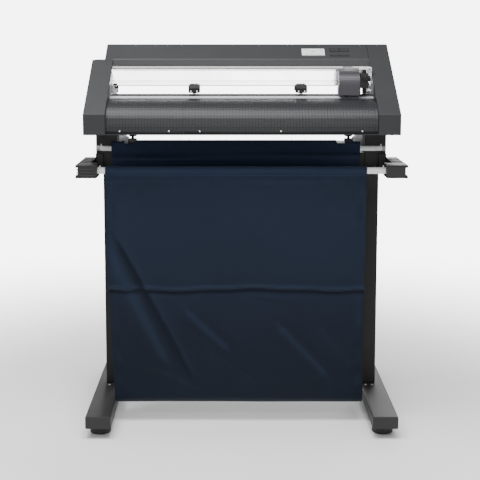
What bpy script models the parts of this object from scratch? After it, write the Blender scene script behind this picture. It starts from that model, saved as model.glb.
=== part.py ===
"""Vinyl cutter on its floor stand, with a fabric media basket.

Metres, +Z up, +X to the operator's right; the operator stands at -Y. The origin is on the floor,
under the middle of the stand. Every size that can be set by itself is a named value below; the
places of the pieces are worked out from those values and from named clearances.
"""
import math

import bmesh
import bpy
from mathutils import Matrix, Vector

for old_object in list(bpy.data.objects):
    bpy.data.objects.remove(old_object, do_unlink=True)

# ---------------------------------------------------------------- sizes that are set by themselves
GAP = 0.0003                  # left between two pieces that touch
PLAY = 0.0008                 # running clearance round things that turn or slide
OVER = 0.004                  # how far a cutter runs past what it cuts

BODY_WIDTH = 0.851            # over both side covers
BODY_DEPTH = 0.338
BODY_UNDERSIDE = 0.830        # height of the body's underside above the floor
BODY_OVERHANG = 0.259         # body front ahead of the posts' front
FRONT_HEIGHT = 0.056          # upright front faces of the side covers
TOP_FLAT = 0.032              # level strip along the rear top edge
SIDE_COVER_WIDTH = 0.0595
COVER_WALL = 0.0025
COVER_ROUND = 0.0015
COVER_RIM = 0.0015            # rim left round the doorway behind the covers' inner walls
LIP_HEIGHT = 0.017            # front lip of the top cover
LIP_LEAN = 0.006
TOP_COVER_OVERHANG = 0.024    # top cover's left end past the side cover's inner face
INNER_WALL_BACK = 0.132       # depth of the side covers' inner walls, from the front
MEDIA_HEIGHT = 0.102          # top of the drive roller above the underside
GAP_ABOVE_MEDIA = 0.022       # media slot under the rail
RAIL_HEIGHT = 0.046
ROOM_ABOVE_RAIL = 0.070       # the top cover's height over the rail
LEFT_ROOM_ABOVE_RAIL = 0.026  # the left cover stops lower than the top cover
REAR_EDGE_DROP = 0.020        # the top cover's rear wall ends this far above the media

PAN_SHEET = 0.0025
PAN_FLANGE_HEIGHT = 0.012
FRAME_SHEET = 0.003
FRAME_DEPTH = 0.193
FRAME_FROM_BACK = 0.007
RAIL_FROM_BACK = 0.145
RAIL_DEPTH = 0.055
RAIL_WALL = 0.004
RAIL_LIP = 0.003
RAIL_LIP_HEIGHT = 0.009
RAIL_GROOVE_WIDTH = 0.0012
RAIL_GROOVE_DEPTH = 0.0015
RAIL_GROOVE_BELOW_TOP = 0.005
RAIL_GROOVE_ABOVE_LIP = 0.004

ROLLER_FROM_BACK = 0.160
ROLLER_RADIUS = 0.0075
ROLLER_NECK_RADIUS = 0.005
ROLLER_MARGIN = 0.012         # plain neck left at each end of the roller
BEARING_RADIUS = 0.010
BEARING_WIDTH = 0.007
GEAR_TEETH = 45
PINION_TEETH = 12
TOOTH_MODULE = 0.001
GEAR_WIDTH = 0.008
GEAR_STANDOFF = 0.003
FEED_MOTOR_RADIUS = 0.015
FEED_MOTOR_LENGTH = 0.040
MOTOR_SHAFT_RADIUS = 0.0025

PLATEN_SHEET = 0.003
PLATEN_SEAM_X = -0.1562
PLATEN_TOP_DEPTH = 0.0605
PLATEN_TOP_FALL = 0.011
PLATEN_FRONT_SETBACK = 0.010
PLATEN_LIP_HEIGHT = 0.019
PLATEN_LIP_STEP = 0.0012
PLATEN_REAR_FLANGE = 0.014
MAT_DEPTH = 0.026
MAT_SHEET = 0.0007
MAT_FROM_PLATEN_REAR = 0.025
GUIDE_SHEET = 0.0025
GUIDE_CURVE_DEPTH = 0.064
GUIDE_CURVE_HEIGHT = 0.0475
GUIDE_FALL = 0.0045
GUIDE_BELOW_MEDIA = 0.0015

PULLEY_RADIUS = 0.012
PULLEY_FLANGE = 0.002
PULLEY_FROM_FRAME = 0.029
BELT_WIDTH = 0.006
BELT_SHEET = 0.0016
BELT_ABOVE_RAIL = 0.002
BELT_FROM_RAIL_FRONT = 0.038
CARRIAGE_MOTOR_SIZE = 0.042
CARRIAGE_MOTOR_HEIGHT = 0.040

CARRIAGE_LEFT = 0.0963        # carriage cover's left side, inward from the side cover
CARRIAGE_COVER_WIDTH = 0.058
CARRIAGE_PLATE_DEPTH = 0.034
CARRIAGE_PLATE_HEIGHT = 0.032
CARRIAGE_COVER_DEPTH = 0.052
CARRIAGE_COVER_WALL = 0.002
CARRIAGE_COVER_ABOVE_PLATEN = 0.009
CARRIAGE_FRONT_HEIGHT = 0.030
CARRIAGE_END_CLEARANCE = 0.011
TOOL_BLOCK_WIDTH = 0.022
TOOL_BLOCK_HEIGHT = 0.040
TOOL_FROM_RAIL = 0.065
TOOL_TIP_CLEARANCE = 0.0042
BLADE_HOLDER_RADIUS = 0.0055
BLADE_HOLDER_HEIGHT = 0.072
CLAMP_KNOB_RADIUS = 0.007
CLAMP_KNOB_LENGTH = 0.016

LIFT_SHAFT_SIZE = 0.008
LIFT_SHAFT_BEHIND_RAIL = 0.015
LIFT_SHAFT_ABOVE_RAIL_BOTTOM = 0.012
PUSH_ARM_WIDTH = 0.028
PUSH_ARM_SHEET = 0.0085
PUSH_WHEEL_RADIUS = 0.008
PUSH_WHEEL_WIDTH = 0.010
PUSH_HEAD_DEPTH = 0.0435
PUSH_HEAD_HEIGHT = 0.022
PUSH_HEAD_ABOVE_MEDIA = 0.004
PUSH_HEAD_CHAMFER = (0.010, 0.008)
PUSH_ARM_ABOVE_MEDIA = 0.007
PUSH_HUB_WALL = 0.004
PUSH_AXLE_RADIUS = 0.0025
PUSH_WHEEL_EDGE = 0.001
PUSH_LEFT_X = -0.1327
PUSH_RIGHT_X = 0.168
LEVER_WIDTH = 0.012
LEVER_REACH = 0.028
LEVER_BEHIND_SHAFT = 0.035
LEVER_PIN_RADIUS = 0.004
LEVER_SLOT_LOW = 0.100
LEVER_SLOT_HIGH = 0.172

SCREEN_WIDTH = 0.067
SCREEN_HEIGHT = 0.040
SCREEN_RIGHT = 0.1245         # the screen's right side, inward from the side cover
KEY_WIDTH = 0.0255
KEY_SPACING = 0.0285
UPPER_KEY_HEIGHT = 0.0195
LOWER_KEY_HEIGHT = 0.0085
KEY_FROM_SCREEN = 0.0155
KEY_DEPTH = 0.004
KEY_PROUD = 0.0012
INLET_WIDTH = 0.028
INLET_HEIGHT = 0.024
INLET_DEPTH = 0.022
INLET_WALL = 0.003
INLET_WELL_DEPTH = 0.016
INLET_PIN_SPACING = 0.007
INLET_PIN_WIDTH = 0.002
INLET_PIN_HEIGHT = 0.006
SWITCH_WIDTH = 0.014
SWITCH_HEIGHT = 0.022
SWITCH_DEPTH = 0.010
SWITCH_PROUD = 0.001
SWITCH_RISE = 0.002           # the pressed-out half stands this much further out
SUPPLY_SIZE = (0.180, 0.090, 0.040)
SUPPLY_FROM_SIDE = 0.060
SUPPLY_SHEET = 0.0015
SUPPLY_VENTS = 6
SUPPLY_VENT_SPACING = 0.022
SUPPLY_VENT_WIDTH = 0.008
SUPPLY_VENT_FROM_END = 0.030
SUPPLY_VENT_FROM_EDGE = 0.010
BOARD_SIZE = (0.160, 0.100, 0.0016)
BOARD_LEFT_X = 0.030
BOARDS_FROM_BACK = 0.060
STAND_OFF_HEIGHT = 0.010
STAND_OFF_RADIUS = 0.003
STAND_OFF_FROM_EDGE = 0.010
CHIPS = (                     # from the board's left and rear edges, side, height
    (0.030, 0.030, 0.024, 0.004),
    (0.080, 0.050, 0.030, 0.006),
    (0.120, 0.025, 0.018, 0.012),
)

STAND_DEPTH = 0.676
FOOT_WIDTH = 0.070
FOOT_HEIGHT = 0.0345
FOOT_WALL = 0.003
FOOT_OUTSTEP = 0.0025         # the feet's outer sides past the side covers
FOOT_BOSS = 0.040
PAD_RADIUS = 0.0287
PAD_HEIGHT = 0.0285
PAD_FROM_END = 0.066
PAD_STEM_RADIUS = 0.006
POST_WIDTH = 0.042
POST_DEPTH = 0.060
POST_WALL = 0.0025
POST_INSET = 0.0235           # the posts' outer faces inside the side covers
POST_FRONT = -0.034
HEAD_BLOCK_WIDTH = 0.020
HEAD_PLATE = 0.004
HEAD_PLATE_OVERHANG = 0.080
BEAM_HEIGHT = 0.039
BEAM_DEPTH = 0.040
BEAM_WALL = 0.0025
BEAM_BELOW_BODY = 0.073
STOCKER_SHEET = 0.004
STOCKER_REACH = 0.114
STOCK_SHAFT_RADIUS = 0.015
STOCK_SHAFT_WALL = 0.002
STOCK_SHAFT_PAST = 0.002      # the shaft's ends past the plates that hold it
STOCK_SHAFT_BELOW_BODY = 0.065
STOCK_SHAFT_BEHIND_POST = 0.089
STOPPER_RADIUS = 0.045
STOPPER_HUB_RADIUS = 0.037
STOPPER_EDGE = 0.001
STOPPER_NOSE = 0.012
STOPPER_NOSE_RADIUS = 0.026
STOPPER_TAPER = 0.003
STOPPER_FLANGE = 0.005
STOPPER_HUB_LENGTH = 0.040

BASKET_BAR_RADIUS = 0.0075
BASKET_BAR_BELOW_BODY = 0.0595
BASKET_BAR_INSET = 0.0075
BASKET_TUBE_RADIUS = 0.0093
ARM_PIVOT_BELOW_BODY = 0.104
ARM_PIVOT_AHEAD = -0.004
ARM_WIDTH = 0.032
ARM_HEIGHT = 0.035
ARM_REACH = 0.214
ARM_HEAD_DEPTH = 0.068
ARM_HEAD_INSET = 0.0258
ARM_HUB_RADIUS = 0.018
ARM_PIN_RADIUS = 0.006
ARM_RIM = 0.006
ARM_FLANGE = 0.0065
ARM_POCKETS = 4
ARM_POCKET_WIDTH = 0.008
ARM_POCKET_SPACING = 0.0118
ARM_POCKET_DEPTH = 0.006
ARM_RECESS = 0.006
TUBE_FROM_ARM_END = 0.029
FABRIC_SHEET = 0.0024
FABRIC_LEFT_MARGIN = 0.049
FABRIC_RIGHT_MARGIN = 0.080
FABRIC_FLAP = 0.018
FABRIC_ABOVE_FEET = 0.004     # the lowest fold hangs just clear of the feet
FABRIC_HEM = 0.030
FABRIC_EASE = 0.0012          # between the fabric and the bars that it hangs on
FABRIC_REAR_LEAN = 0.055
FABRIC_FRONT_LEAN = 0.030
FABRIC_BOTTOM_RISE = 0.030

# ---------------------------------------------------------------------- places worked out from them
HALF = BODY_WIDTH / 2
INNER = HALF - SIDE_COVER_WIDTH
FRONT = POST_FRONT - BODY_OVERHANG
BACK = FRONT + BODY_DEPTH
BOTTOM = BODY_UNDERSIDE
MEDIA = BOTTOM + MEDIA_HEIGHT
RAIL_BOTTOM = MEDIA + GAP_ABOVE_MEDIA
RAIL_TOP = RAIL_BOTTOM + RAIL_HEIGHT
TOP = RAIL_TOP + ROOM_ABOVE_RAIL
LEFT_TOP = RAIL_TOP + LEFT_ROOM_ABOVE_RAIL
BODY_HEIGHT = TOP - BOTTOM
SLOPE = (BODY_HEIGHT - FRONT_HEIGHT) / (BODY_DEPTH - TOP_FLAT)
SLOPE_ANGLE = math.atan(SLOPE)

PAN_TOP = BOTTOM + GAP + PAN_SHEET
FRAME_BACK = BACK - FRAME_FROM_BACK
FRAME_FRONT = FRAME_BACK - FRAME_DEPTH
FRAME_IN = INNER + GAP
FRAME_OUT = FRAME_IN + FRAME_SHEET
RAIL_FRONT = BACK - RAIL_FROM_BACK
RAIL_BACK = RAIL_FRONT + RAIL_DEPTH
ROLLER_Y = BACK - ROLLER_FROM_BACK
ROLLER_Z = MEDIA - ROLLER_RADIUS
GEAR_RADIUS = GEAR_TEETH * TOOTH_MODULE / 2
PINION_RADIUS = PINION_TEETH * TOOTH_MODULE / 2
GEAR_IN = FRAME_OUT + GEAR_STANDOFF
MOTOR_OFFSET = (GEAR_RADIUS + PINION_RADIUS) * math.sqrt(0.5)
FEED_MOTOR_Y = ROLLER_Y - MOTOR_OFFSET
FEED_MOTOR_Z = ROLLER_Z - MOTOR_OFFSET

PLATEN_REAR = ROLLER_Y - ROLLER_RADIUS - 5 * PLAY
PLATEN_CREST = PLATEN_REAR - PLATEN_TOP_DEPTH
PLATEN_FRONT = FRONT + PLATEN_FRONT_SETBACK
PLATEN_CREST_Z = MEDIA - PLATEN_TOP_FALL
PLATEN_LIP_TOP = BOTTOM + PLATEN_LIP_HEIGHT + PAN_SHEET
PLATEN_FOOT = PAN_TOP + GAP

BELT_Y = RAIL_FRONT + BELT_FROM_RAIL_FRONT
BELT_LOW = RAIL_TOP + BELT_ABOVE_RAIL
BELT_HIGH = BELT_LOW + BELT_WIDTH
BELT_INNER_RADIUS = PULLEY_RADIUS + GAP
BELT_OUTER_RADIUS = BELT_INNER_RADIUS + BELT_SHEET
PULLEY_X = FRAME_OUT + PULLEY_FROM_FRAME
SHELF_HIGH = BELT_LOW - PULLEY_FLANGE - PLAY - GAP
SHELF_LOW = SHELF_HIGH - FRAME_SHEET

CARRIAGE_X = INNER - CARRIAGE_LEFT
PLATE_RIGHT = INNER - CARRIAGE_END_CLEARANCE
PLATE_BACK = RAIL_FRONT - GAP
PLATE_FRONT = PLATE_BACK - CARRIAGE_PLATE_DEPTH
PLATE_LOW = RAIL_TOP - CARRIAGE_PLATE_HEIGHT
COVER_X = CARRIAGE_X + CARRIAGE_COVER_WIDTH
TOOL_Y = RAIL_FRONT - TOOL_FROM_RAIL
TOOL_X = COVER_X + PLAY + TOOL_BLOCK_WIDTH / 2
TOOL_BLOCK_HIGH = RAIL_TOP - 0.010

SHAFT_Y = RAIL_BACK + LIFT_SHAFT_BEHIND_RAIL
SHAFT_Z = RAIL_BOTTOM + LIFT_SHAFT_ABOVE_RAIL_BOTTOM
WHEEL_Z = MEDIA + GAP + PUSH_WHEEL_RADIUS
LEVER_X = -(PULLEY_X + LEVER_WIDTH / 2)
LEVER_Y = SHAFT_Y + LEVER_BEHIND_SHAFT
LEVER_Z = SHAFT_Z + LIFT_SHAFT_SIZE

POST_OUT = HALF - POST_INSET
POST_IN = POST_OUT - POST_WIDTH
POST_BACK = POST_FRONT + POST_DEPTH
POST_TOP = BOTTOM - GAP
HEAD_OUT = POST_OUT + HEAD_BLOCK_WIDTH
FOOT_OUT = HALF + FOOT_OUTSTEP
FOOT_IN = FOOT_OUT - FOOT_WIDTH
FOOT_X = (FOOT_OUT + FOOT_IN) / 2
FOOT_LOW = PAD_HEIGHT + GAP
FOOT_TOP = FOOT_LOW + FOOT_HEIGHT
BEAM_TOP = BOTTOM - BEAM_BELOW_BODY
BEAM_LOW = BEAM_TOP - BEAM_HEIGHT
STOCK_Y = POST_BACK + STOCK_SHAFT_BEHIND_POST
STOCK_Z = BOTTOM - STOCK_SHAFT_BELOW_BODY
STOCKER_X = POST_OUT - 0.012

BAR_Y = POST_FRONT - GAP - BASKET_BAR_RADIUS
BAR_Z = BOTTOM - BASKET_BAR_BELOW_BODY
PIVOT_Y = POST_FRONT - ARM_PIVOT_AHEAD
PIVOT_Z = BOTTOM - ARM_PIVOT_BELOW_BODY
ARM_IN = HEAD_OUT + GAP
ARM_OUT = ARM_IN + ARM_WIDTH
ARM_FRONT = PIVOT_Y - ARM_REACH
ARM_HEAD_IN = ARM_IN - ARM_HEAD_INSET
TUBE_Y = ARM_FRONT + TUBE_FROM_ARM_END
TUBE_Z = PIVOT_Z
FABRIC_LEFT = -HALF + FABRIC_LEFT_MARGIN
FABRIC_RIGHT = HALF - FABRIC_RIGHT_MARGIN


def slope_z(y):
    """Height of the covers' sloping top at depth y."""
    return BOTTOM + FRONT_HEIGHT + (y - FRONT) * SLOPE


def slope_y(z):
    """Depth at which the covers' sloping top reaches height z."""
    return FRONT + (z - BOTTOM - FRONT_HEIGHT) / SLOPE


LIP_Y = slope_y(LEFT_TOP)


# -------------------------------------------------------------------------------------- materials
def material(name, colour, roughness, metallic=0.0):
    """A Principled material with one colour, roughness and metallic value."""
    made = bpy.data.materials.new(name)
    made.use_nodes = True
    shader = made.node_tree.nodes["Principled BSDF"]
    shader.inputs["Base Color"].default_value = (*colour, 1.0)
    shader.inputs["Roughness"].default_value = roughness
    shader.inputs["Metallic"].default_value = metallic
    made.diffuse_color = (*colour, 1.0)
    return made


COVER_GREY = material("cover_grey", (0.105, 0.112, 0.120), 0.45)
DARK_GREY = material("dark_grey_plastic", (0.055, 0.055, 0.060), 0.5)
BLACK = material("black_plastic", (0.012, 0.012, 0.013), 0.5)
BLACK_STEEL = material("black_steel", (0.018, 0.020, 0.018), 0.45, 0.3)
GREY_STEEL = material("grey_painted_steel", (0.050, 0.050, 0.053), 0.5)
PLATEN_GREY = material("platen_grey", (0.110, 0.112, 0.125), 0.4)
ALUMINIUM = material("aluminium", (0.80, 0.82, 0.84), 0.3, 1.0)
ZINC = material("zinc_sheet", (0.60, 0.60, 0.60), 0.4, 1.0)
STEEL = material("bright_steel", (0.65, 0.65, 0.66), 0.25, 1.0)
WHITE = material("white_tube", (0.85, 0.85, 0.86), 0.35)
LIGHT_GREY = material("light_grey_plastic", (0.52, 0.52, 0.54), 0.5)
RUBBER = material("rubber", (0.02, 0.02, 0.02), 0.8)
BELT = material("belt", (0.70, 0.70, 0.68), 0.6)
GLASS = material("screen", (0.55, 0.55, 0.54), 0.15)
BOARD = material("board_green", (0.02, 0.12, 0.05), 0.5)
FABRIC = material("navy_fabric", (0.016, 0.026, 0.050), 0.9)


# ------------------------------------------------------------------------------------ mesh helpers
def axis_matrix(axis):
    """Turns a shape built along +Z so that it runs along the named axis."""
    if axis == "X":
        return Matrix(((0, 0, 1, 0), (1, 0, 0, 0), (0, 1, 0, 0), (0, 0, 0, 1)))
    if axis == "Y":
        return Matrix(((0, 1, 0, 0), (0, 0, 1, 0), (1, 0, 0, 0), (0, 0, 0, 1)))
    return Matrix.Identity(4)


def across(axis, point):
    """Reorders a section point so that it lands where the caller means it after axis_matrix.

    Sections are (y, z) along X, (x, z) along Y and (x, y) along Z.
    """
    return (point[1], point[0]) if axis == "Y" else (point[0], point[1])


def prism(axis, section, start, end):
    """A closed outline carried straight along an axis from start to end."""
    shape = bmesh.new()
    corners = [shape.verts.new((*across(axis, point), min(start, end))) for point in section]
    face = shape.faces.new(corners)
    raised = bmesh.ops.extrude_face_region(shape, geom=[face])["geom"]
    moved = [item for item in raised if isinstance(item, bmesh.types.BMVert)]
    bmesh.ops.translate(shape, verts=moved, vec=(0, 0, abs(end - start)))
    bmesh.ops.transform(shape, matrix=axis_matrix(axis), verts=shape.verts)
    bmesh.ops.recalc_face_normals(shape, faces=shape.faces)
    return shape


def block(x, y, z):
    """A box over three (low, high) spans."""
    (x0, x1), (y0, y1), (z0, z1) = (sorted(span) for span in (x, y, z))
    return prism("Z", [(x0, y0), (x1, y0), (x1, y1), (x0, y1)], z0, z1)


def arc(centre, radii, start, end, steps):
    """Points on an elliptical arc, angles in degrees, ends included."""
    turns = [math.radians(start + (end - start) * step / steps) for step in range(steps + 1)]
    return [(centre[0] + radii[0] * math.cos(turn), centre[1] + radii[1] * math.sin(turn))
            for turn in turns]


def rod(axis, centre, radius, start, end, sides=28):
    """A round bar about a line parallel to an axis."""
    return prism(axis, arc(centre, (radius, radius), 0, 360 - 360 / sides, sides - 1), start, end)


def turned(axis, centre, outline, sides=32):
    """A solid turned about a line parallel to an axis, from (place along it, radius) points."""
    shape = bmesh.new()
    points = [shape.verts.new((radius, 0, along)) for along, radius in outline]
    edges = [shape.edges.new(pair) for pair in zip(points, points[1:])]
    bmesh.ops.spin(shape, geom=points + edges, axis=(0, 0, 1), cent=(0, 0, 0),
                   angle=2 * math.pi, steps=sides, use_merge=True)
    bmesh.ops.remove_doubles(shape, verts=shape.verts, dist=1e-6)
    bmesh.ops.translate(shape, verts=shape.verts, vec=(*across(axis, centre), 0))
    bmesh.ops.transform(shape, matrix=axis_matrix(axis), verts=shape.verts)
    bmesh.ops.recalc_face_normals(shape, faces=shape.faces)
    return shape


def thickened(path, sheet):
    """The outline of a bent sheet: a path and the same path moved `sheet` to its left side."""
    moved = []
    for place, point in enumerate(path):
        before = Vector(path[max(place - 1, 0)])
        after = Vector(path[min(place + 1, len(path) - 1)])
        here = Vector(point)
        into = (here - before).normalized() if place else (after - here).normalized()
        out = (after - here).normalized() if place < len(path) - 1 else into
        normal = Vector((-(into + out).y, (into + out).x)).normalized()
        reach = sheet / max(normal.dot(Vector((-into.y, into.x))), 0.3)
        moved.append(tuple(here + normal * reach))
    return list(path) + moved[::-1]


def gear_outline(teeth, radius, centre):
    """A plain toothed outline whose tips stop just inside the pitch circle."""
    tip = radius - GAP / 2
    root = radius - 1.3 * TOOTH_MODULE
    points = []
    for tooth in range(teeth):
        for share, reach in ((0.0, root), (0.30, root), (0.42, tip), (0.88, tip)):
            turn = 2 * math.pi * (tooth + share) / teeth
            points.append((centre[0] + reach * math.cos(turn), centre[1] + reach * math.sin(turn)))
    return points


def on_slope(x, up, out):
    """A place on the top cover's slope: up from its front crease, out from its surface."""
    return Vector((x, LIP_Y + up * math.cos(SLOPE_ANGLE) - out * math.sin(SLOPE_ANGLE),
                   LEFT_TOP + up * math.sin(SLOPE_ANGLE) + out * math.cos(SLOPE_ANGLE)))


def slope_block(x, up, out):
    """A box that lies in the top cover's slope, over spans of x, up and out."""
    shape = block(x, up, out)
    tilt = Matrix.Translation((0, LIP_Y, LEFT_TOP)) @ Matrix.Rotation(SLOPE_ANGLE, 4, "X")
    bmesh.ops.transform(shape, matrix=tilt, verts=shape.verts)
    return shape


def add_object(name, shape, finish, origin=(0, 0, 0)):
    """An object from a bmesh built in place, with its origin moved to the given point."""
    bmesh.ops.translate(shape, verts=shape.verts, vec=-Vector(origin))
    mesh = bpy.data.meshes.new(name)
    shape.to_mesh(mesh)
    shape.free()
    mesh.materials.append(finish)
    mesh.shade_smooth()
    mesh.set_sharp_from_angle(angle=math.radians(30))
    made = bpy.data.objects.new(name, mesh)
    made.location = origin
    bpy.context.collection.objects.link(made)
    return made


def soften(target, width, steps=2):
    """Rounds the sharp edges that a piece has so far."""
    bevel = target.modifiers.new("soften", "BEVEL")
    bevel.width = width
    bevel.segments = steps
    bevel.limit_method = "ANGLE"
    bevel.angle_limit = math.radians(30)
    return target


def shaped(target, operation, tools):
    """Joins tool shapes to a piece, or cuts them out of it."""
    for tool in tools:
        helper = add_object(f"{target.name}_{operation.lower()}_{len(target.modifiers)}", tool,
                            target.data.materials[0])
        helper.hide_render = True
        helper.display_type = "WIRE"
        boolean = target.modifiers.new(operation.lower(), "BOOLEAN")
        boolean.operation = operation
        boolean.solver = "EXACT"
        boolean.object = helper
    return target


def joined(target, *tools):
    return shaped(target, "UNION", tools)


def cut(target, *tools):
    return shaped(target, "DIFFERENCE", tools)


def side_name(side):
    return "left" if side < 0 else "right"


# ---------------------------------------------------------------------------- body: covers, frame
def cover_outline(top, inset, low, front=None):
    """The covers' side outline up to `top`, moved in by `inset`, open down to `low`."""
    drop = inset / math.cos(SLOPE_ANGLE)
    face = FRONT + inset if front is None else front
    return [(face, low), (face, slope_z(face) - drop), (slope_y(top - inset + drop), top - inset),
            (BACK - inset, top - inset), (BACK - inset, low)]


def side_cover(side, top):
    """A moulded end cover, open underneath, and open to the body behind its inner wall."""
    name = side_name(side) + "_side_cover"
    cover = add_object(name, prism("X", cover_outline(top, 0, BOTTOM), side * INNER, side * HALF),
                       COVER_GREY)
    soften(cover, COVER_ROUND)
    low = BOTTOM - OVER
    hollow = prism("X", cover_outline(top, COVER_WALL, low), side * (INNER + COVER_WALL),
                   side * (HALF - COVER_WALL))
    doorway = prism("X", cover_outline(top, COVER_WALL + COVER_RIM, low, FRONT + INNER_WALL_BACK),
                    side * (INNER - OVER), side * (INNER + COVER_WALL + OVER))
    pan_room = block((side * (INNER - OVER), side * (INNER + COVER_WALL + OVER)),
                     (FRONT + COVER_WALL, BACK - COVER_WALL), (low, PAN_TOP + GAP))
    return cut(cover, hollow, doorway, pan_room)


def left_side_cover():
    """The left cover, with the slot in its rear wall that the media lever moves in."""
    cover = side_cover(-1, LEFT_TOP)
    slot = block((LEVER_X - PLAY, LEVER_X + LEVER_WIDTH + PLAY),
                 (BACK - COVER_WALL - OVER, BACK + OVER), (BOTTOM + LEVER_SLOT_LOW, BOTTOM + LEVER_SLOT_HIGH))
    return cut(cover, slot)


def rear_part_places():
    """X of the power inlet and switch, and the heights of their middles."""
    x = (FRAME_OUT + HALF) / 2
    inlet_z = BOTTOM + 0.040
    switch_z = inlet_z + INLET_HEIGHT / 2 + SWITCH_HEIGHT / 2 + 0.010
    return x, inlet_z, switch_z


def right_side_cover():
    """The right cover, with the rear openings for the power inlet and the switch."""
    x, inlet_z, switch_z = rear_part_places()
    cover = side_cover(1, TOP)
    rear = (BACK - COVER_WALL - OVER, BACK + OVER)
    inlet = block((x - INLET_WIDTH / 2 - GAP, x + INLET_WIDTH / 2 + GAP), rear,
                  (inlet_z - INLET_HEIGHT / 2 - GAP, inlet_z + INLET_HEIGHT / 2 + GAP))
    switch = block((x - SWITCH_WIDTH / 2 - PLAY, x + SWITCH_WIDTH / 2 + PLAY), rear,
                   (switch_z - SWITCH_HEIGHT / 2 - PLAY, switch_z + SWITCH_HEIGHT / 2 + PLAY))
    return cut(cover, inlet, switch)


def key_places():
    """Middle x, lower edge and height of each key on the slope."""
    left = INNER - SCREEN_RIGHT + KEY_FROM_SCREEN
    rows = ((0.0435, UPPER_KEY_HEIGHT), (0.0200, LOWER_KEY_HEIGHT))
    return [(left + KEY_WIDTH / 2 + column * KEY_SPACING, low, height)
            for low, height in rows for column in range(2)]


def screen_span():
    """Spans of x and up that the screen covers on the slope."""
    right = INNER - SCREEN_RIGHT
    return (right - SCREEN_WIDTH, right), (0.0205, 0.0205 + SCREEN_HEIGHT)


def top_cover():
    """The moulding over the rail: slope, front lip and rear wall, with the panel's openings."""
    low = LEFT_TOP + GAP
    right = INNER - GAP
    left = -(INNER + TOP_COVER_OVERHANG)
    upper = [(slope_y(low), low), (slope_y(TOP), TOP), (BACK, TOP), (BACK, low)]
    cover = soften(add_object("top_cover", prism("X", upper, left, right), COVER_GREY), COVER_ROUND)
    lip_low = LEFT_TOP - LIP_HEIGHT
    lip = [(LIP_Y + COVER_ROUND * 2, low + 2 * COVER_ROUND), (LIP_Y, low), (LIP_Y - LIP_LEAN, lip_low),
           (BACK, lip_low), (BACK, low + COVER_ROUND * 2)]
    rear_wall = block((-right, right), (BACK - COVER_WALL, BACK), (MEDIA + REAR_EDGE_DROP, low + COVER_WALL))
    joined(cover, prism("X", lip, -right, right), rear_wall)
    inset = cover_outline(TOP, COVER_WALL, lip_low - OVER, LIP_Y + COVER_WALL)
    inset[0] = (LIP_Y - LIP_LEAN + COVER_WALL, lip_low - OVER)
    room = prism("X", inset, -right + COVER_WALL, right - COVER_WALL)
    end_wall = COVER_WALL + GAP
    over_end = [(y, max(z, low - OVER)) for y, z in cover_outline(TOP, end_wall, low, LIP_Y + 0.012)]
    end_room = prism("X", over_end, left + COVER_WALL, -right + COVER_WALL + OVER)
    cut(cover, room, end_room)
    screen_x, screen_up = screen_span()
    through = (-COVER_WALL - OVER, OVER)
    cut(cover, slope_block((screen_x[0] - GAP, screen_x[1] + GAP),
                           (screen_up[0] - GAP, screen_up[1] + GAP), through))
    for x, up, height in key_places():
        cut(cover, slope_block((x - KEY_WIDTH / 2 - PLAY, x + KEY_WIDTH / 2 + PLAY),
                               (up - PLAY, up + height + PLAY), through))
    return cover


def lcd_screen():
    """The display module, flush in its opening, with a rim that backs onto the cover."""
    x, up = screen_span()
    screen = add_object("lcd_screen", slope_block(x, up, (-COVER_WALL - 0.004, 0)), GLASS)
    rim = 0.004
    return joined(screen, slope_block((x[0] - rim, x[1] + rim), (up[0] - rim, up[1] + rim),
                                      (-COVER_WALL - 0.0035, -COVER_WALL - 2 * GAP)))


def panel_keys():
    """The four keys; each travels into the slope."""
    for number, (x, up, height) in enumerate(key_places(), 1):
        cap = slope_block((x - KEY_WIDTH / 2, x + KEY_WIDTH / 2), (up, up + height),
                          (KEY_PROUD - KEY_DEPTH, KEY_PROUD))
        key = add_object(f"panel_key_{number}", cap, DARK_GREY, on_slope(x, up + height / 2, 0))
        soften(key, 0.0004, 1)


def base_pan():
    """The folded floor sheet of the body."""
    edge = HALF - COVER_WALL - GAP
    front = FRONT + COVER_WALL + GAP
    back = BACK - COVER_WALL - GAP
    sheet = block((-edge, edge), (front, back), (BOTTOM + GAP, PAN_TOP))
    pan = add_object("base_pan", sheet, GREY_STEEL)
    flange_top = PAN_TOP + PAN_FLANGE_HEIGHT
    for end in (-1, 1):
        flange = block((end * (edge - PAN_SHEET), end * edge), (front, back), (PAN_TOP - GAP, flange_top))
        joined(pan, flange)
    return pan


def frame_outline():
    """Side outline of the frame plates, kept under the covers' slope."""
    drop = (COVER_WALL + 2 * PLAY) / math.cos(SLOPE_ANGLE)
    top = LEFT_TOP - COVER_WALL - 4 * PLAY
    return [(FRAME_FRONT, PAN_TOP + GAP), (FRAME_FRONT, slope_z(FRAME_FRONT) - drop),
            (slope_y(top + drop), top), (FRAME_BACK, top), (FRAME_BACK, PAN_TOP + GAP)]


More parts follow.
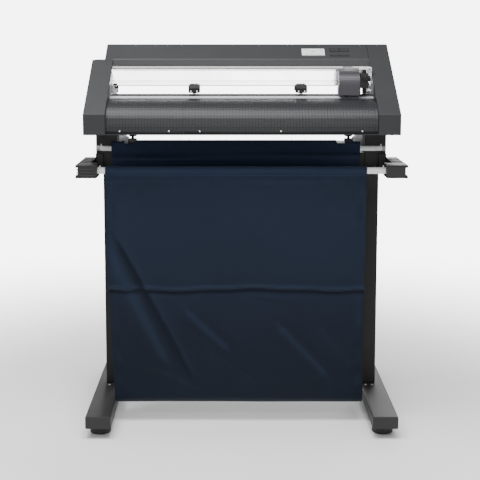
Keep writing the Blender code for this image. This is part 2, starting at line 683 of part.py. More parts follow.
def side_frame(side):
    """A frame plate with its bearing seat, belt window, shaft hole and outboard pulley shelf."""
    frame = add_object(f"side_frame_{side_name(side)}",
                       prism("X", frame_outline(), side * FRAME_IN, side * FRAME_OUT), ZINC)
    shelf = block((side * (FRAME_OUT - FRAME_SHEET / 2), side * (PULLEY_X + PULLEY_RADIUS)),
                  (BELT_Y - PULLEY_RADIUS, BELT_Y + PULLEY_RADIUS), (SHELF_LOW, SHELF_HIGH))
    joined(frame, shelf)
    through = (side * (FRAME_IN - OVER), side * (FRAME_OUT + OVER))
    seat = rod("X", (ROLLER_Y, ROLLER_Z), BEARING_RADIUS + GAP, *through)
    window = block(through, (BELT_Y - BELT_OUTER_RADIUS - 2 * PLAY, BELT_Y + BELT_OUTER_RADIUS + 2 * PLAY),
                   (SHELF_HIGH + GAP, BELT_HIGH + PULLEY_FLANGE))
    shaft_hole = rod("X", (SHAFT_Y, SHAFT_Z), LIFT_SHAFT_SIZE / 2 + PLAY, *through)
    cut(frame, seat, window, shaft_hole)
    if side < 0:
        axle = rod("Z", (side * PULLEY_X, BELT_Y), 0.003, SHELF_LOW + GAP, BELT_HIGH + PULLEY_FLANGE + PLAY)
        lever_pin = rod("X", (LEVER_Y, LEVER_Z), LEVER_PIN_RADIUS, side * (FRAME_IN + FRAME_SHEET / 2),
                        LEVER_X)
        return joined(frame, axle, lever_pin)
    hub_hole = rod("Z", (PULLEY_X, BELT_Y), 0.007, SHELF_LOW - OVER, SHELF_HIGH + OVER)
    motor_hole = rod("X", (FEED_MOTOR_Y, FEED_MOTOR_Z), MOTOR_SHAFT_RADIUS + PLAY, *through)
    return cut(frame, hub_hole, motor_hole)


def y_rail():
    """The extruded rail that the carriage runs on: a hollow box with a lip and two grooves."""
    length = INNER - GAP
    section = [(RAIL_BACK, RAIL_BOTTOM), (RAIL_BACK, RAIL_TOP), (RAIL_FRONT, RAIL_TOP),
               (RAIL_FRONT, RAIL_BOTTOM + RAIL_LIP_HEIGHT),
               (RAIL_FRONT - RAIL_LIP, RAIL_BOTTOM + RAIL_LIP_HEIGHT - 0.001),
               (RAIL_FRONT - RAIL_LIP, RAIL_BOTTOM)]
    rail = add_object("y_rail", prism("X", section, -length, length), ALUMINIUM)
    past = length + OVER
    core = block((-past, past), (RAIL_FRONT + RAIL_WALL, RAIL_BACK - RAIL_WALL),
                 (RAIL_BOTTOM + RAIL_WALL, RAIL_TOP - RAIL_WALL))
    cut(rail, core)
    groove_y = (RAIL_FRONT - OVER, RAIL_FRONT + RAIL_GROOVE_DEPTH)
    for z in (RAIL_TOP - RAIL_GROOVE_BELOW_TOP, RAIL_BOTTOM + RAIL_LIP_HEIGHT + RAIL_GROOVE_ABOVE_LIP):
        cut(rail, block((-past, past), groove_y, (z, z + RAIL_GROOVE_WIDTH)))
    return rail


def platen_path():
    """Section of the platen's outer face, from its rear flange over the crest to the pan."""
    top = MEDIA + GAP
    reach = (PLATEN_CREST - PLATEN_FRONT, PLATEN_CREST_Z - PLATEN_LIP_TOP)
    curve = arc((PLATEN_CREST, PLATEN_LIP_TOP), reach, 90, 180, 14)
    return [(PLATEN_REAR, top - PLATEN_REAR_FLANGE), (PLATEN_REAR, top), *curve, (PLATEN_FRONT, PLATEN_FOOT)]


def platen_surface(y):
    """Height of the platen's sloping top at depth y."""
    return MEDIA + GAP - (PLATEN_REAR - y) * (MEDIA + GAP - PLATEN_CREST_Z) / PLATEN_TOP_DEPTH


def platen(name, start, end):
    """One length of the curved media platen, with a stepped lip and a groove for the mat."""
    section = thickened(platen_path(), PLATEN_SHEET)
    made = add_object(name, prism("X", section, start, end), PLATEN_GREY)
    past = (min(start, end) - OVER, max(start, end) + OVER)
    step = block(past, (PLATEN_FRONT - OVER, PLATEN_FRONT + PLATEN_LIP_STEP),
                 (PLATEN_FOOT + 0.004, PLATEN_LIP_TOP))
    rear, front = mat_span()
    depth = MAT_SHEET + GAP
    groove = [(rear + GAP, platen_surface(rear) - depth), (front - GAP, platen_surface(front) - depth),
              (front - GAP, platen_surface(front) + OVER), (rear + GAP, platen_surface(rear) + OVER)]
    return cut(made, step, prism("X", groove, *past))


def mat_span():
    """Rear and front depth of the cutting mat."""
    rear = PLATEN_REAR - MAT_FROM_PLATEN_REAR
    return rear, rear - MAT_DEPTH


def cutting_mat():
    """The strip that the blade runs over, let into the platen."""
    rear, front = mat_span()
    low = [(rear, platen_surface(rear) - MAT_SHEET), (front, platen_surface(front) - MAT_SHEET)]
    high = [(front, platen_surface(front)), (rear, platen_surface(rear))]
    return add_object("cutting_mat", prism("X", low + high, -INNER + GAP, INNER - GAP), LIGHT_GREY)


def rear_guide():
    """The curved rear sheet that leads the media up to the drive roller."""
    front = ROLLER_Y + ROLLER_RADIUS + 5 * PLAY
    back = BACK - COVER_WALL
    crest = MEDIA - GUIDE_FALL
    middle = (back - GUIDE_CURVE_DEPTH, crest - GUIDE_CURVE_HEIGHT)
    curve = arc(middle, (GUIDE_CURVE_DEPTH, GUIDE_CURVE_HEIGHT), 90, 0, 10)
    path = [(front, MEDIA - GUIDE_BELOW_MEDIA), *curve, (back, PAN_TOP + GAP)]
    section = thickened(path[::-1], GUIDE_SHEET)
    return add_object("rear_guide", prism("X", section, -INNER + GAP, INNER - GAP), DARK_GREY)


# ------------------------------------------------------------------------------------- media drive
def drive_roller():
    """The gritted roller, with plain necks that run in the bearings."""
    neck = INNER - ROLLER_MARGIN
    out = GEAR_IN + GEAR_WIDTH
    outline = [(-FRAME_OUT, 0), (-FRAME_OUT, ROLLER_NECK_RADIUS), (-neck, ROLLER_NECK_RADIUS),
               (-neck, ROLLER_RADIUS), (neck, ROLLER_RADIUS), (neck, ROLLER_NECK_RADIUS),
               (GEAR_IN - GAP, ROLLER_NECK_RADIUS), (GEAR_IN - GAP, ROLLER_NECK_RADIUS * 0.8),
               (out, ROLLER_NECK_RADIUS * 0.8), (out, 0)]
    shape = turned("X", (ROLLER_Y, ROLLER_Z), outline, 36)
    return add_object("drive_roller", shape, STEEL, (0, ROLLER_Y, ROLLER_Z))


def roller_bearing(side):
    """A bearing ring seated in the frame plate."""
    start = side * (FRAME_OUT - BEARING_WIDTH)
    ring = add_object(f"roller_bearing_{side_name(side)}",
                      rod("X", (ROLLER_Y, ROLLER_Z), BEARING_RADIUS, start, side * FRAME_OUT), STEEL)
    bore = rod("X", (ROLLER_Y, ROLLER_Z), ROLLER_NECK_RADIUS + GAP, start - side * OVER,
               side * (FRAME_OUT + OVER))
    return cut(ring, bore)


def drive_gear():
    """The large gear on the roller's right end."""
    section = gear_outline(GEAR_TEETH, GEAR_RADIUS, (ROLLER_Y, ROLLER_Z))
    gear = add_object("drive_gear", prism("X", section, GEAR_IN, GEAR_IN + GEAR_WIDTH), LIGHT_GREY,
                      (0, ROLLER_Y, ROLLER_Z))
    bore = rod("X", (ROLLER_Y, ROLLER_Z), ROLLER_NECK_RADIUS * 0.8 + GAP, GEAR_IN - OVER,
               GEAR_IN + GEAR_WIDTH + OVER)
    return cut(gear, bore)


def feed_pinion():
    """The pinion and the motor shaft that it is pressed on."""
    centre = (FEED_MOTOR_Y, FEED_MOTOR_Z)
    section = gear_outline(PINION_TEETH, PINION_RADIUS, centre)
    pinion = add_object("feed_pinion", prism("X", section, GEAR_IN, GEAR_IN + GEAR_WIDTH), STEEL,
                        (0, *centre))
    return joined(pinion, rod("X", centre, MOTOR_SHAFT_RADIUS, INNER, GEAR_IN + GEAR_WIDTH / 2))


def feed_motor():
    """The motor that turns the drive roller, bolted inside the right frame plate."""
    end = INNER - GAP
    centre = (FEED_MOTOR_Y, FEED_MOTOR_Z)
    outline = [(end - FEED_MOTOR_LENGTH, 0), (end - FEED_MOTOR_LENGTH, FEED_MOTOR_RADIUS * 0.6),
               (end - FEED_MOTOR_LENGTH + 0.006, FEED_MOTOR_RADIUS), (end, FEED_MOTOR_RADIUS), (end, 0)]
    return add_object("feed_motor", turned("X", centre, outline), BLACK_STEEL)


# ------------------------------------------------------------------------------------ belt, pulleys
def pulley(name, x, hub_low, bore):
    """A flanged belt pulley on an upright axis."""
    flange = PULLEY_RADIUS + PULLEY_FLANGE
    low = BELT_LOW - PLAY
    high = BELT_HIGH + PLAY
    outline = [(hub_low, 0), (hub_low, 0.006), (low - PULLEY_FLANGE / 2, 0.006),
               (low - PULLEY_FLANGE / 2, flange), (low, flange), (low, PULLEY_RADIUS),
               (high, PULLEY_RADIUS), (high, flange), (high + PULLEY_FLANGE / 2, flange),
               (high + PULLEY_FLANGE / 2, 0)]
    made = add_object(name, turned("Z", (x, BELT_Y), outline), ALUMINIUM, (x, BELT_Y, BELT_LOW))
    if bore:
        cut(made, rod("Z", (x, BELT_Y), bore, hub_low - OVER, BELT_HIGH + PULLEY_FLANGE + OVER))
    return made


def carriage_motor():
    """The motor that drives the belt, hung under the right frame's shelf."""
    high = SHELF_LOW - GAP
    half = CARRIAGE_MOTOR_SIZE / 2
    left = FRAME_OUT + GAP
    motor = add_object("carriage_motor", block((left, left + 2 * half), (BELT_Y - half, BELT_Y + half),
                                               (high - CARRIAGE_MOTOR_HEIGHT, high)), BLACK_STEEL)
    return soften(motor, 0.003)


def timing_belt():
    """The belt loop round both pulleys."""
    def loop(radius):
        right = arc((PULLEY_X, BELT_Y), (radius, radius), -90, 90, 14)
        left = arc((-PULLEY_X, BELT_Y), (radius, radius), 90, 270, 14)
        return right + left
    belt = add_object("timing_belt", prism("Z", loop(BELT_OUTER_RADIUS), BELT_LOW, BELT_HIGH), BELT)
    return cut(belt, prism("Z", loop(BELT_INNER_RADIUS), BELT_LOW - OVER, BELT_HIGH + OVER))


# ---------------------------------------------------------------------------------------- carriage
def carriage_plate():
    """The slider on the rail's front, with the finger that grips the belt's front run."""
    origin = (CARRIAGE_X, RAIL_FRONT, RAIL_TOP)
    plate = add_object("carriage_plate", block((CARRIAGE_X + 0.004, PLATE_RIGHT), (PLATE_FRONT, PLATE_BACK),
                                               (PLATE_LOW, RAIL_TOP)), ZINC, origin)
    belt_face = BELT_Y - BELT_OUTER_RADIUS - GAP
    finger = block((CARRIAGE_X + 0.020, CARRIAGE_X + 0.044), (PLATE_BACK - 0.012, belt_face),
                   (RAIL_TOP + GAP, BELT_HIGH - GAP))
    root = block((CARRIAGE_X + 0.020, CARRIAGE_X + 0.044), (PLATE_BACK - 0.012, PLATE_BACK),
                 (RAIL_TOP - OVER, BELT_HIGH - GAP))
    return joined(plate, finger, root)


def carriage_cover():
    """The rounded hood over the carriage, open at the back."""
    back = PLATE_FRONT - GAP
    front = back - CARRIAGE_COVER_DEPTH
    low = platen_surface(front) + CARRIAGE_COVER_ABOVE_PLATEN
    knee = low + CARRIAGE_FRONT_HEIGHT
    heel = TOOL_Y + 0.014
    curve = arc((back, knee), (back - front, RAIL_TOP - knee), 180, 90, 10)
    outer = [(front, low), *curve, (back, PLATE_LOW), (heel, PLATE_LOW), (heel, low)]
    hood = add_object("carriage_cover", prism("X", outer, CARRIAGE_X, COVER_X), DARK_GREY,
                      (CARRIAGE_X, RAIL_FRONT, RAIL_TOP))
    soften(hood, 0.0015)
    wall = CARRIAGE_COVER_WALL
    inner_curve = arc((back, knee), (back - front - wall, RAIL_TOP - knee - wall), 180, 90, 10)
    room = [(front + wall, low + wall), *inner_curve, (back + OVER, RAIL_TOP - wall),
            (back + OVER, PLATE_LOW + wall), (heel - wall, PLATE_LOW + wall), (heel - wall, low + wall)]
    return cut(hood, prism("X", room, CARRIAGE_X + wall, COVER_X - wall))


def tool_holder():
    """The block that carries the blade holder and plunges with it."""
    half = TOOL_BLOCK_WIDTH / 2
    x = (TOOL_X - half, TOOL_X + half)
    low = TOOL_BLOCK_HIGH - TOOL_BLOCK_HEIGHT
    holder = add_object("tool_holder", block(x, (TOOL_Y - half, TOOL_Y + half), (low, TOOL_BLOCK_HIGH)),
                        ZINC, (TOOL_X, TOOL_Y, RAIL_TOP))
    soften(holder, 0.001, 1)
    tongue = block((TOOL_X - half * 0.6, TOOL_X + half * 0.6), (TOOL_Y, PLATE_FRONT - GAP),
                   (PLATE_LOW + GAP, TOOL_BLOCK_HIGH - 0.003))
    joined(holder, tongue)
    bore = rod("Z", (TOOL_X, TOOL_Y), BLADE_HOLDER_RADIUS + GAP, low - OVER, TOOL_BLOCK_HIGH + OVER)
    return cut(holder, bore)


def blade_holder():
    """The pen-shaped holder with its collar and blade tip."""
    tip = platen_surface(TOOL_Y) + TOOL_TIP_CLEARANCE
    high = tip + BLADE_HOLDER_HEIGHT
    radius = BLADE_HOLDER_RADIUS
    outline = [(tip, 0), (tip + 0.001, 0.0006), (tip + 0.003, 0.0035), (tip + 0.008, radius),
               (TOOL_BLOCK_HIGH + GAP, radius), (TOOL_BLOCK_HIGH + GAP, radius * 1.35),
               (TOOL_BLOCK_HIGH + 0.003, radius * 1.35), (TOOL_BLOCK_HIGH + 0.003, radius * 0.9),
               (high - 0.001, radius * 0.9), (high, radius * 0.7), (high, 0)]
    return add_object("blade_holder", turned("Z", (TOOL_X, TOOL_Y), outline, 28), BLACK,
                      (TOOL_X, TOOL_Y, RAIL_TOP))


def clamp_knob():
    """The fluted screw knob that grips the blade holder."""
    face = TOOL_Y - TOOL_BLOCK_WIDTH / 2 - GAP
    centre = (TOOL_X, TOOL_BLOCK_HIGH - 0.012)
    outline = [(face - CLAMP_KNOB_LENGTH, 0), (face - CLAMP_KNOB_LENGTH, CLAMP_KNOB_RADIUS - 0.001),
               (face - CLAMP_KNOB_LENGTH + 0.001, CLAMP_KNOB_RADIUS), (face - 0.006, CLAMP_KNOB_RADIUS),
               (face - 0.005, 0.004), (face, 0.004), (face, 0)]
    knob = add_object("clamp_knob", turned("Y", centre, outline, 24), BLACK, (centre[0], face, centre[1]))
    for turn in range(6):
        angle = math.radians(60 * turn)
        flute = (centre[0] + CLAMP_KNOB_RADIUS * 1.12 * math.cos(angle),
                 centre[1] + CLAMP_KNOB_RADIUS * 1.12 * math.sin(angle))
        cut(knob, rod("Y", flute, 0.0016, face - CLAMP_KNOB_LENGTH - OVER, face - 0.007, 12))
    return knob


# ------------------------------------------------------------------------------------- push rollers
def lift_shaft():
    """The square shaft that the push-roller arms slide along and are lifted by."""
    half = LIFT_SHAFT_SIZE / 2
    length = INNER - GAP
    shaft = add_object("lift_shaft", block((-length, length), (SHAFT_Y - half, SHAFT_Y + half),
                                           (SHAFT_Z - half, SHAFT_Z + half)), STEEL, (0, SHAFT_Y, SHAFT_Z))
    journal = rod("X", (SHAFT_Y, SHAFT_Z), half - GAP, -FRAME_OUT - 0.006, FRAME_OUT + 0.006)
    return joined(shaft, journal)


def push_arm(name, x):
    """An arm that reaches from the lift shaft under the rail to the wheel in front of it."""
    half = PUSH_ARM_WIDTH / 2
    hole = LIFT_SHAFT_SIZE / 2 + GAP
    hub = hole + PUSH_HUB_WALL
    low = MEDIA + PUSH_ARM_ABOVE_MEDIA
    head_low = MEDIA + PUSH_HEAD_ABOVE_MEDIA
    head_back = RAIL_FRONT - RAIL_LIP - 2 * PLAY
    head_front = head_back - PUSH_HEAD_DEPTH
    head_high = head_low + PUSH_HEAD_HEIGHT
    chamfer_y, chamfer_z = PUSH_HEAD_CHAMFER
    section = [(head_front, head_low), (head_back, head_low), (head_back, low), (SHAFT_Y + hub, low),
               (SHAFT_Y + hub, SHAFT_Z + hub), (SHAFT_Y - hub, SHAFT_Z + hub),
               (SHAFT_Y - hub, low + PUSH_ARM_SHEET), (head_back, low + PUSH_ARM_SHEET),
               (head_back, head_high), (head_front + chamfer_y, head_high),
               (head_front, head_high - chamfer_z)]
    origin = (x, SHAFT_Y, SHAFT_Z)
    arm = add_object(name, prism("X", section, x - half, x + half), BLACK, origin)
    wheel_room = PUSH_WHEEL_WIDTH / 2 + PLAY
    reach = PUSH_WHEEL_RADIUS + 2 * PLAY
    slot = block((x - wheel_room, x + wheel_room), (ROLLER_Y - reach, ROLLER_Y + reach),
                 (MEDIA - OVER, WHEEL_Z + reach))
    axle_hole = rod("X", (ROLLER_Y, WHEEL_Z), PUSH_AXLE_RADIUS + GAP, x - half - OVER, x + half + OVER, 16)
    passage = block((x - half - OVER, x + half + OVER), (SHAFT_Y - hole, SHAFT_Y + hole),
                    (SHAFT_Z - hole, SHAFT_Z + hole))
    return cut(arm, slot, axle_hole, passage)


def push_roller(name, x):
    """The rubber-tyred wheel and its axle."""
    half = PUSH_WHEEL_WIDTH / 2
    edge = PUSH_WHEEL_EDGE
    end = PUSH_ARM_WIDTH / 2 - edge
    axle = PUSH_AXLE_RADIUS
    outline = [(x - end, 0), (x - end, axle), (x - half, axle), (x - half, PUSH_WHEEL_RADIUS - edge),
               (x - half + edge, PUSH_WHEEL_RADIUS), (x + half - edge, PUSH_WHEEL_RADIUS),
               (x + half, PUSH_WHEEL_RADIUS - edge), (x + half, axle), (x + end, axle), (x + end, 0)]
    return add_object(name, turned("X", (ROLLER_Y, WHEEL_Z), outline), RUBBER, (x, ROLLER_Y, WHEEL_Z))


def media_lever():
    """The lever at the left rear that lifts and lowers the push rollers."""
    hub = LEVER_PIN_RADIUS + GAP + 0.004
    reach = BACK + LEVER_REACH
    section = [(LEVER_Y, LEVER_Z - hub), (reach - 0.004, LEVER_Z + 0.002), (reach, LEVER_Z + 0.006),
               (reach - 0.002, LEVER_Z + 0.011), (LEVER_Y, LEVER_Z + hub)]
    span = (LEVER_X, LEVER_X + LEVER_WIDTH)
    lever = add_object("media_lever", rod("X", (LEVER_Y, LEVER_Z), hub, *span), BLACK,
                       (LEVER_X, LEVER_Y, LEVER_Z))
    joined(lever, prism("X", section, span[0], span[1]))
    return cut(lever, rod("X", (LEVER_Y, LEVER_Z), LEVER_PIN_RADIUS + GAP, span[0] - OVER, span[1] + OVER))


# ------------------------------------------------------------------------------------- electronics
def power_inlet():
    """The mains inlet in the right cover's rear wall."""
    x, z, _ = rear_part_places()
    half_w = INLET_WIDTH / 2
    half_h = INLET_HEIGHT / 2
    body = block((x - half_w, x + half_w), (BACK - INLET_DEPTH, BACK), (z - half_h, z + half_h))
    inlet = add_object("power_inlet", body, BLACK)
    well_w = half_w - INLET_WALL
    well_h = half_h - INLET_WALL
    well_back = BACK - INLET_WELL_DEPTH
    cut(inlet, block((x - well_w, x + well_w), (well_back, BACK + OVER), (z - well_h, z + well_h)))
    for offset in (-INLET_PIN_SPACING, 0, INLET_PIN_SPACING):
        pin_x = x + offset
        pin = block((pin_x - INLET_PIN_WIDTH / 2, pin_x + INLET_PIN_WIDTH / 2),
                    (well_back - INLET_PIN_WIDTH, BACK - INLET_WALL),
                    (z - INLET_PIN_HEIGHT / 2, z + INLET_PIN_HEIGHT / 2))
        joined(inlet, pin)
    return inlet


def power_switch():
    """The rocker above the inlet; it tilts about its middle."""
    x, _, z = rear_part_places()
    half_w = SWITCH_WIDTH / 2
    half_h = SWITCH_HEIGHT / 2
    inside = BACK - SWITCH_DEPTH
    middle = BACK + SWITCH_PROUD
    section = [(inside, z - half_h / 2), (BACK, z - half_h + GAP), (middle + SWITCH_RISE, z - half_h + GAP),
               (middle, z), (BACK, z + half_h - GAP), (inside, z + half_h / 2)]
    rocker = prism("X", section, x - half_w, x + half_w)
    return add_object("power_switch", rocker, BLACK, (x, BACK - SWITCH_DEPTH / 2, z))


def power_supply():
    """The power supply's sheet case on the floor sheet, open underneath and vented along the front."""
    length, depth, height = SUPPLY_SIZE
    left = -INNER + SUPPLY_FROM_SIDE
    back = BACK - BOARDS_FROM_BACK
    low = PAN_TOP + GAP
    box = block((left, left + length), (back - depth, back), (low, low + height))
    case = add_object("power_supply", box, ZINC)
    hollow = block((left + SUPPLY_SHEET, left + length - SUPPLY_SHEET),
                   (back - depth + SUPPLY_SHEET, back - SUPPLY_SHEET),
                   (low - OVER, low + height - SUPPLY_SHEET))
    cut(case, hollow)
    for row in range(SUPPLY_VENTS):
        x = left + SUPPLY_VENT_FROM_END + row * SUPPLY_VENT_SPACING
        cut(case, block((x, x + SUPPLY_VENT_WIDTH), (back - depth - OVER, back - depth + SUPPLY_SHEET + OVER),
                        (low + SUPPLY_VENT_FROM_EDGE, low + height - SUPPLY_VENT_FROM_EDGE)))
    return case


def circuit_board():
    """The control board on four stand-offs, with its largest components."""
    length, depth, sheet = BOARD_SIZE
    left = BOARD_LEFT_X
    back = BACK - BOARDS_FROM_BACK
    low = PAN_TOP + STAND_OFF_HEIGHT
    middle = low + sheet / 2
    plate = block((left, left + length), (back - depth, back), (low, low + sheet))
    board = add_object("circuit_board", plate, BOARD)
    edge = STAND_OFF_FROM_EDGE
    for x in (left + edge, left + length - edge):
        for y in (back - depth + edge, back - edge):
            joined(board, rod("Z", (x, y), STAND_OFF_RADIUS, PAN_TOP + GAP, middle, 12))
    for x, y, side, height in CHIPS:
        chip = block((left + x, left + x + side), (back - y - side, back - y), (middle, low + sheet + height))
        joined(board, chip)
    return board


# ------------------------------------------------------------------------------------------- stand
def foot(side):
    """A foot beam: an inverted channel with closed ends and a boss over each levelling foot."""
    half = STAND_DEPTH / 2
    beam = add_object(f"foot_{side_name(side)}", block((side * FOOT_IN, side * FOOT_OUT), (-half, half),
                                                       (FOOT_LOW, FOOT_TOP)), GREY_STEEL)
    soften(beam, 0.003)
    cut(beam, block((side * (FOOT_IN + FOOT_WALL), side * (FOOT_OUT - FOOT_WALL)),
                    (-half + FOOT_WALL, half - FOOT_WALL), (FOOT_LOW - OVER, FOOT_TOP - FOOT_WALL)))
    for end in (-1, 1):
        y = end * (half - PAD_FROM_END)
        boss = block((side * (FOOT_IN + FOOT_WALL / 2), side * (FOOT_OUT - FOOT_WALL / 2)),
                     (y - FOOT_BOSS / 2, y + FOOT_BOSS / 2), (FOOT_LOW + GAP, FOOT_TOP - FOOT_WALL / 2))
        joined(beam, boss)
        cut(beam, rod("Z", (side * FOOT_X, y), PAD_STEM_RADIUS + GAP, FOOT_LOW - OVER,
                      FOOT_TOP - FOOT_WALL - 0.002, 20))
    return beam


def levelling_foot(side, end):
    """A round levelling foot on its threaded stem."""
    y = end * (STAND_DEPTH / 2 - PAD_FROM_END)
    name = f"levelling_foot_{'front' if end < 0 else 'rear'}_{side_name(side)}"
    outline = [(0, 0), (0, PAD_RADIUS - 0.002), (0.002, PAD_RADIUS), (PAD_HEIGHT - 0.003, PAD_RADIUS),
               (PAD_HEIGHT, PAD_RADIUS - 0.003), (PAD_HEIGHT, PAD_STEM_RADIUS),
               (FOOT_TOP - FOOT_WALL - 0.004, PAD_STEM_RADIUS), (FOOT_TOP - FOOT_WALL - 0.004, 0)]
    return add_object(name, turned("Z", (side * FOOT_X, y), outline, 32), RUBBER, (side * FOOT_X, y, 0))


def post(side):
    """A post: box tube, head plate under the body, outer head block and the basket arm's pin."""
    low = FOOT_TOP + GAP
    outer = block((side * POST_IN, side * POST_OUT), (POST_FRONT, POST_BACK), (low, POST_TOP))
    made = soften(add_object(f"post_{side_name(side)}", outer, BLACK_STEEL), 0.002)
    block_front = PIVOT_Y - ARM_HUB_RADIUS * 0.9
    head = block((side * (POST_OUT - 0.002), side * HEAD_OUT), (POST_FRONT, POST_BACK - 0.002),
                 (PIVOT_Z - 0.008, POST_TOP))
    lug = block((side * (POST_OUT - 0.001), side * HEAD_OUT), (block_front, POST_BACK - 0.004),
                (PIVOT_Z - ARM_HUB_RADIUS * 0.9, BEAM_TOP - 0.002))
    plate = block((side * (POST_IN + 0.001), side * (HEAD_OUT - 0.001)),
                  (POST_FRONT - HEAD_PLATE_OVERHANG, POST_BACK + 0.010), (POST_TOP - HEAD_PLATE, POST_TOP))
    pin = rod("X", (PIVOT_Y, PIVOT_Z), ARM_PIN_RADIUS, side * (HEAD_OUT - 0.004), side * (ARM_OUT + 0.004))
    joined(made, head, lug, plate, pin)
    bore_y = (POST_FRONT + POST_WALL, POST_BACK - POST_WALL)
    return cut(made, block((side * (POST_IN + POST_WALL), side * (POST_OUT - POST_WALL)), bore_y,
                           (low - OVER, POST_TOP - HEAD_PLATE)))


def cross_beam():
    """The beam between the posts, a box tube open at its ends."""
    length = POST_IN - GAP
    back = POST_FRONT + BEAM_DEPTH
    tube = block((-length, length), (POST_FRONT, back), (BEAM_LOW, BEAM_TOP))
    beam = add_object("cross_beam", tube, BLACK_STEEL)
    return cut(beam, block((-length - OVER, length + OVER), (POST_FRONT + BEAM_WALL, back - BEAM_WALL),
                           (BEAM_LOW + BEAM_WALL, BEAM_TOP - BEAM_WALL)))


def stocker_arm(side):
    """The plate behind each post that holds the roll's shaft."""
    start = POST_BACK + GAP
    end = POST_BACK + STOCKER_REACH
    section = [(start, STOCK_Z - 0.045), (start, STOCK_Z + 0.030), (end - 0.020, STOCK_Z + 0.024),
               (end, STOCK_Z + 0.010), (end, STOCK_Z - 0.014), (end - 0.014, STOCK_Z - 0.024)]
    arm = add_object(f"stocker_arm_{side_name(side)}",
                     prism("X", section, side * (STOCKER_X - STOCKER_SHEET), side * STOCKER_X), BLACK_STEEL)
    flange = block((side * (STOCKER_X - 0.020), side * (STOCKER_X - STOCKER_SHEET / 2)),
                   (start, start + STOCKER_SHEET), (STOCK_Z - 0.044, STOCK_Z + 0.029))
    joined(arm, flange)
    return cut(arm, rod("X", (STOCK_Y, STOCK_Z), STOCK_SHAFT_RADIUS + PLAY,
                        side * (STOCKER_X - 2 * STOCKER_SHEET), side * (STOCKER_X + OVER)))


def stock_shaft():
    """The tube that the media roll hangs on."""
    length = STOCKER_X + STOCK_SHAFT_PAST
    axis = (STOCK_Y, STOCK_Z)
    shaft = add_object("stock_shaft", rod("X", axis, STOCK_SHAFT_RADIUS, -length, length, 32),
                       ALUMINIUM, (0, *axis))
    bore = STOCK_SHAFT_RADIUS - STOCK_SHAFT_WALL
    return cut(shaft, rod("X", axis, bore, -length - OVER, length + OVER, 32))


def roll_stopper(side):
    """The flanged hub that the roll's core is pushed onto."""
    bore = STOCK_SHAFT_RADIUS + GAP
    out = STOCKER_X - STOCKER_SHEET - PLAY
    flange_in = out - STOPPER_FLANGE
    hub_in = flange_in - STOPPER_HUB_LENGTH
    edge = STOPPER_EDGE
    outline = [(out, bore), (out, STOPPER_RADIUS - edge), (out - edge, STOPPER_RADIUS),
               (flange_in, STOPPER_RADIUS), (flange_in, STOPPER_HUB_RADIUS),
               (hub_in + STOPPER_NOSE, STOPPER_HUB_RADIUS - STOPPER_TAPER), (hub_in, STOPPER_NOSE_RADIUS),
               (hub_in, bore), (out, bore)]
    shape = turned("X", (STOCK_Y, STOCK_Z), [(side * along, radius) for along, radius in outline], 36)
    return add_object(f"roll_stopper_{side_name(side)}", shape, LIGHT_GREY, (0, STOCK_Y, STOCK_Z))


# ------------------------------------------------------------------------------------------ basket
def basket_rear_bar():
    """The fixed bar that holds the basket's rear edge, across the posts' fronts."""
    length = HALF - BASKET_BAR_INSET
    bar = rod("X", (BAR_Y, BAR_Z), BASKET_BAR_RADIUS, -length, length, 24)
    return add_object("basket_rear_bar", bar, WHITE)


def basket_front_tube():
    """The tube in the basket's front hem, held between the two arms."""
    length = ARM_HEAD_IN - GAP
    tube = rod("X", (TUBE_Y, TUBE_Z), BASKET_TUBE_RADIUS, -length, length, 24)
    return add_object("basket_front_tube", tube, WHITE, (0, PIVOT_Y, PIVOT_Z))


def basket_arm(side):
    """A ribbed arm that swings on the post's pin and carries the front tube."""
    low = PIVOT_Z - ARM_HEIGHT / 2
    high = PIVOT_Z + ARM_HEIGHT / 2
    bar = block((side * ARM_IN, side * ARM_OUT), (ARM_FRONT, PIVOT_Y), (low, high))
    arm = add_object(f"basket_arm_{side_name(side)}", bar, GREY_STEEL, (0, PIVOT_Y, PIVOT_Z))
    head = block((side * ARM_HEAD_IN, side * (ARM_OUT - 0.001)), (ARM_FRONT, ARM_FRONT + ARM_HEAD_DEPTH),
                 (low, high))
    hub = rod("X", (PIVOT_Y, PIVOT_Z), ARM_HUB_RADIUS, side * ARM_IN, side * ARM_OUT, 32)
    joined(arm, head, hub)
    groove_y = (ARM_FRONT - OVER, PIVOT_Y - ARM_HUB_RADIUS - ARM_RIM)
    cut(arm, block((side * (ARM_OUT - ARM_RECESS), side * (ARM_OUT + OVER)), groove_y,
                   (low + ARM_FLANGE, high - ARM_FLANGE)))
    pocket_y = (ARM_FRONT + ARM_RIM, ARM_FRONT + ARM_HEAD_DEPTH - ARM_RIM)
    for row in range(ARM_POCKETS):
        x = ARM_HEAD_IN + ARM_RIM + row * ARM_POCKET_SPACING
        cut(arm, block((side * x, side * (x + ARM_POCKET_WIDTH)), pocket_y,
                       (high - ARM_POCKET_DEPTH, high + OVER)))
    return cut(arm, rod("X", (PIVOT_Y, PIVOT_Z), ARM_PIN_RADIUS + GAP, side * (ARM_IN - OVER),
                        side * (ARM_OUT + OVER), 20))


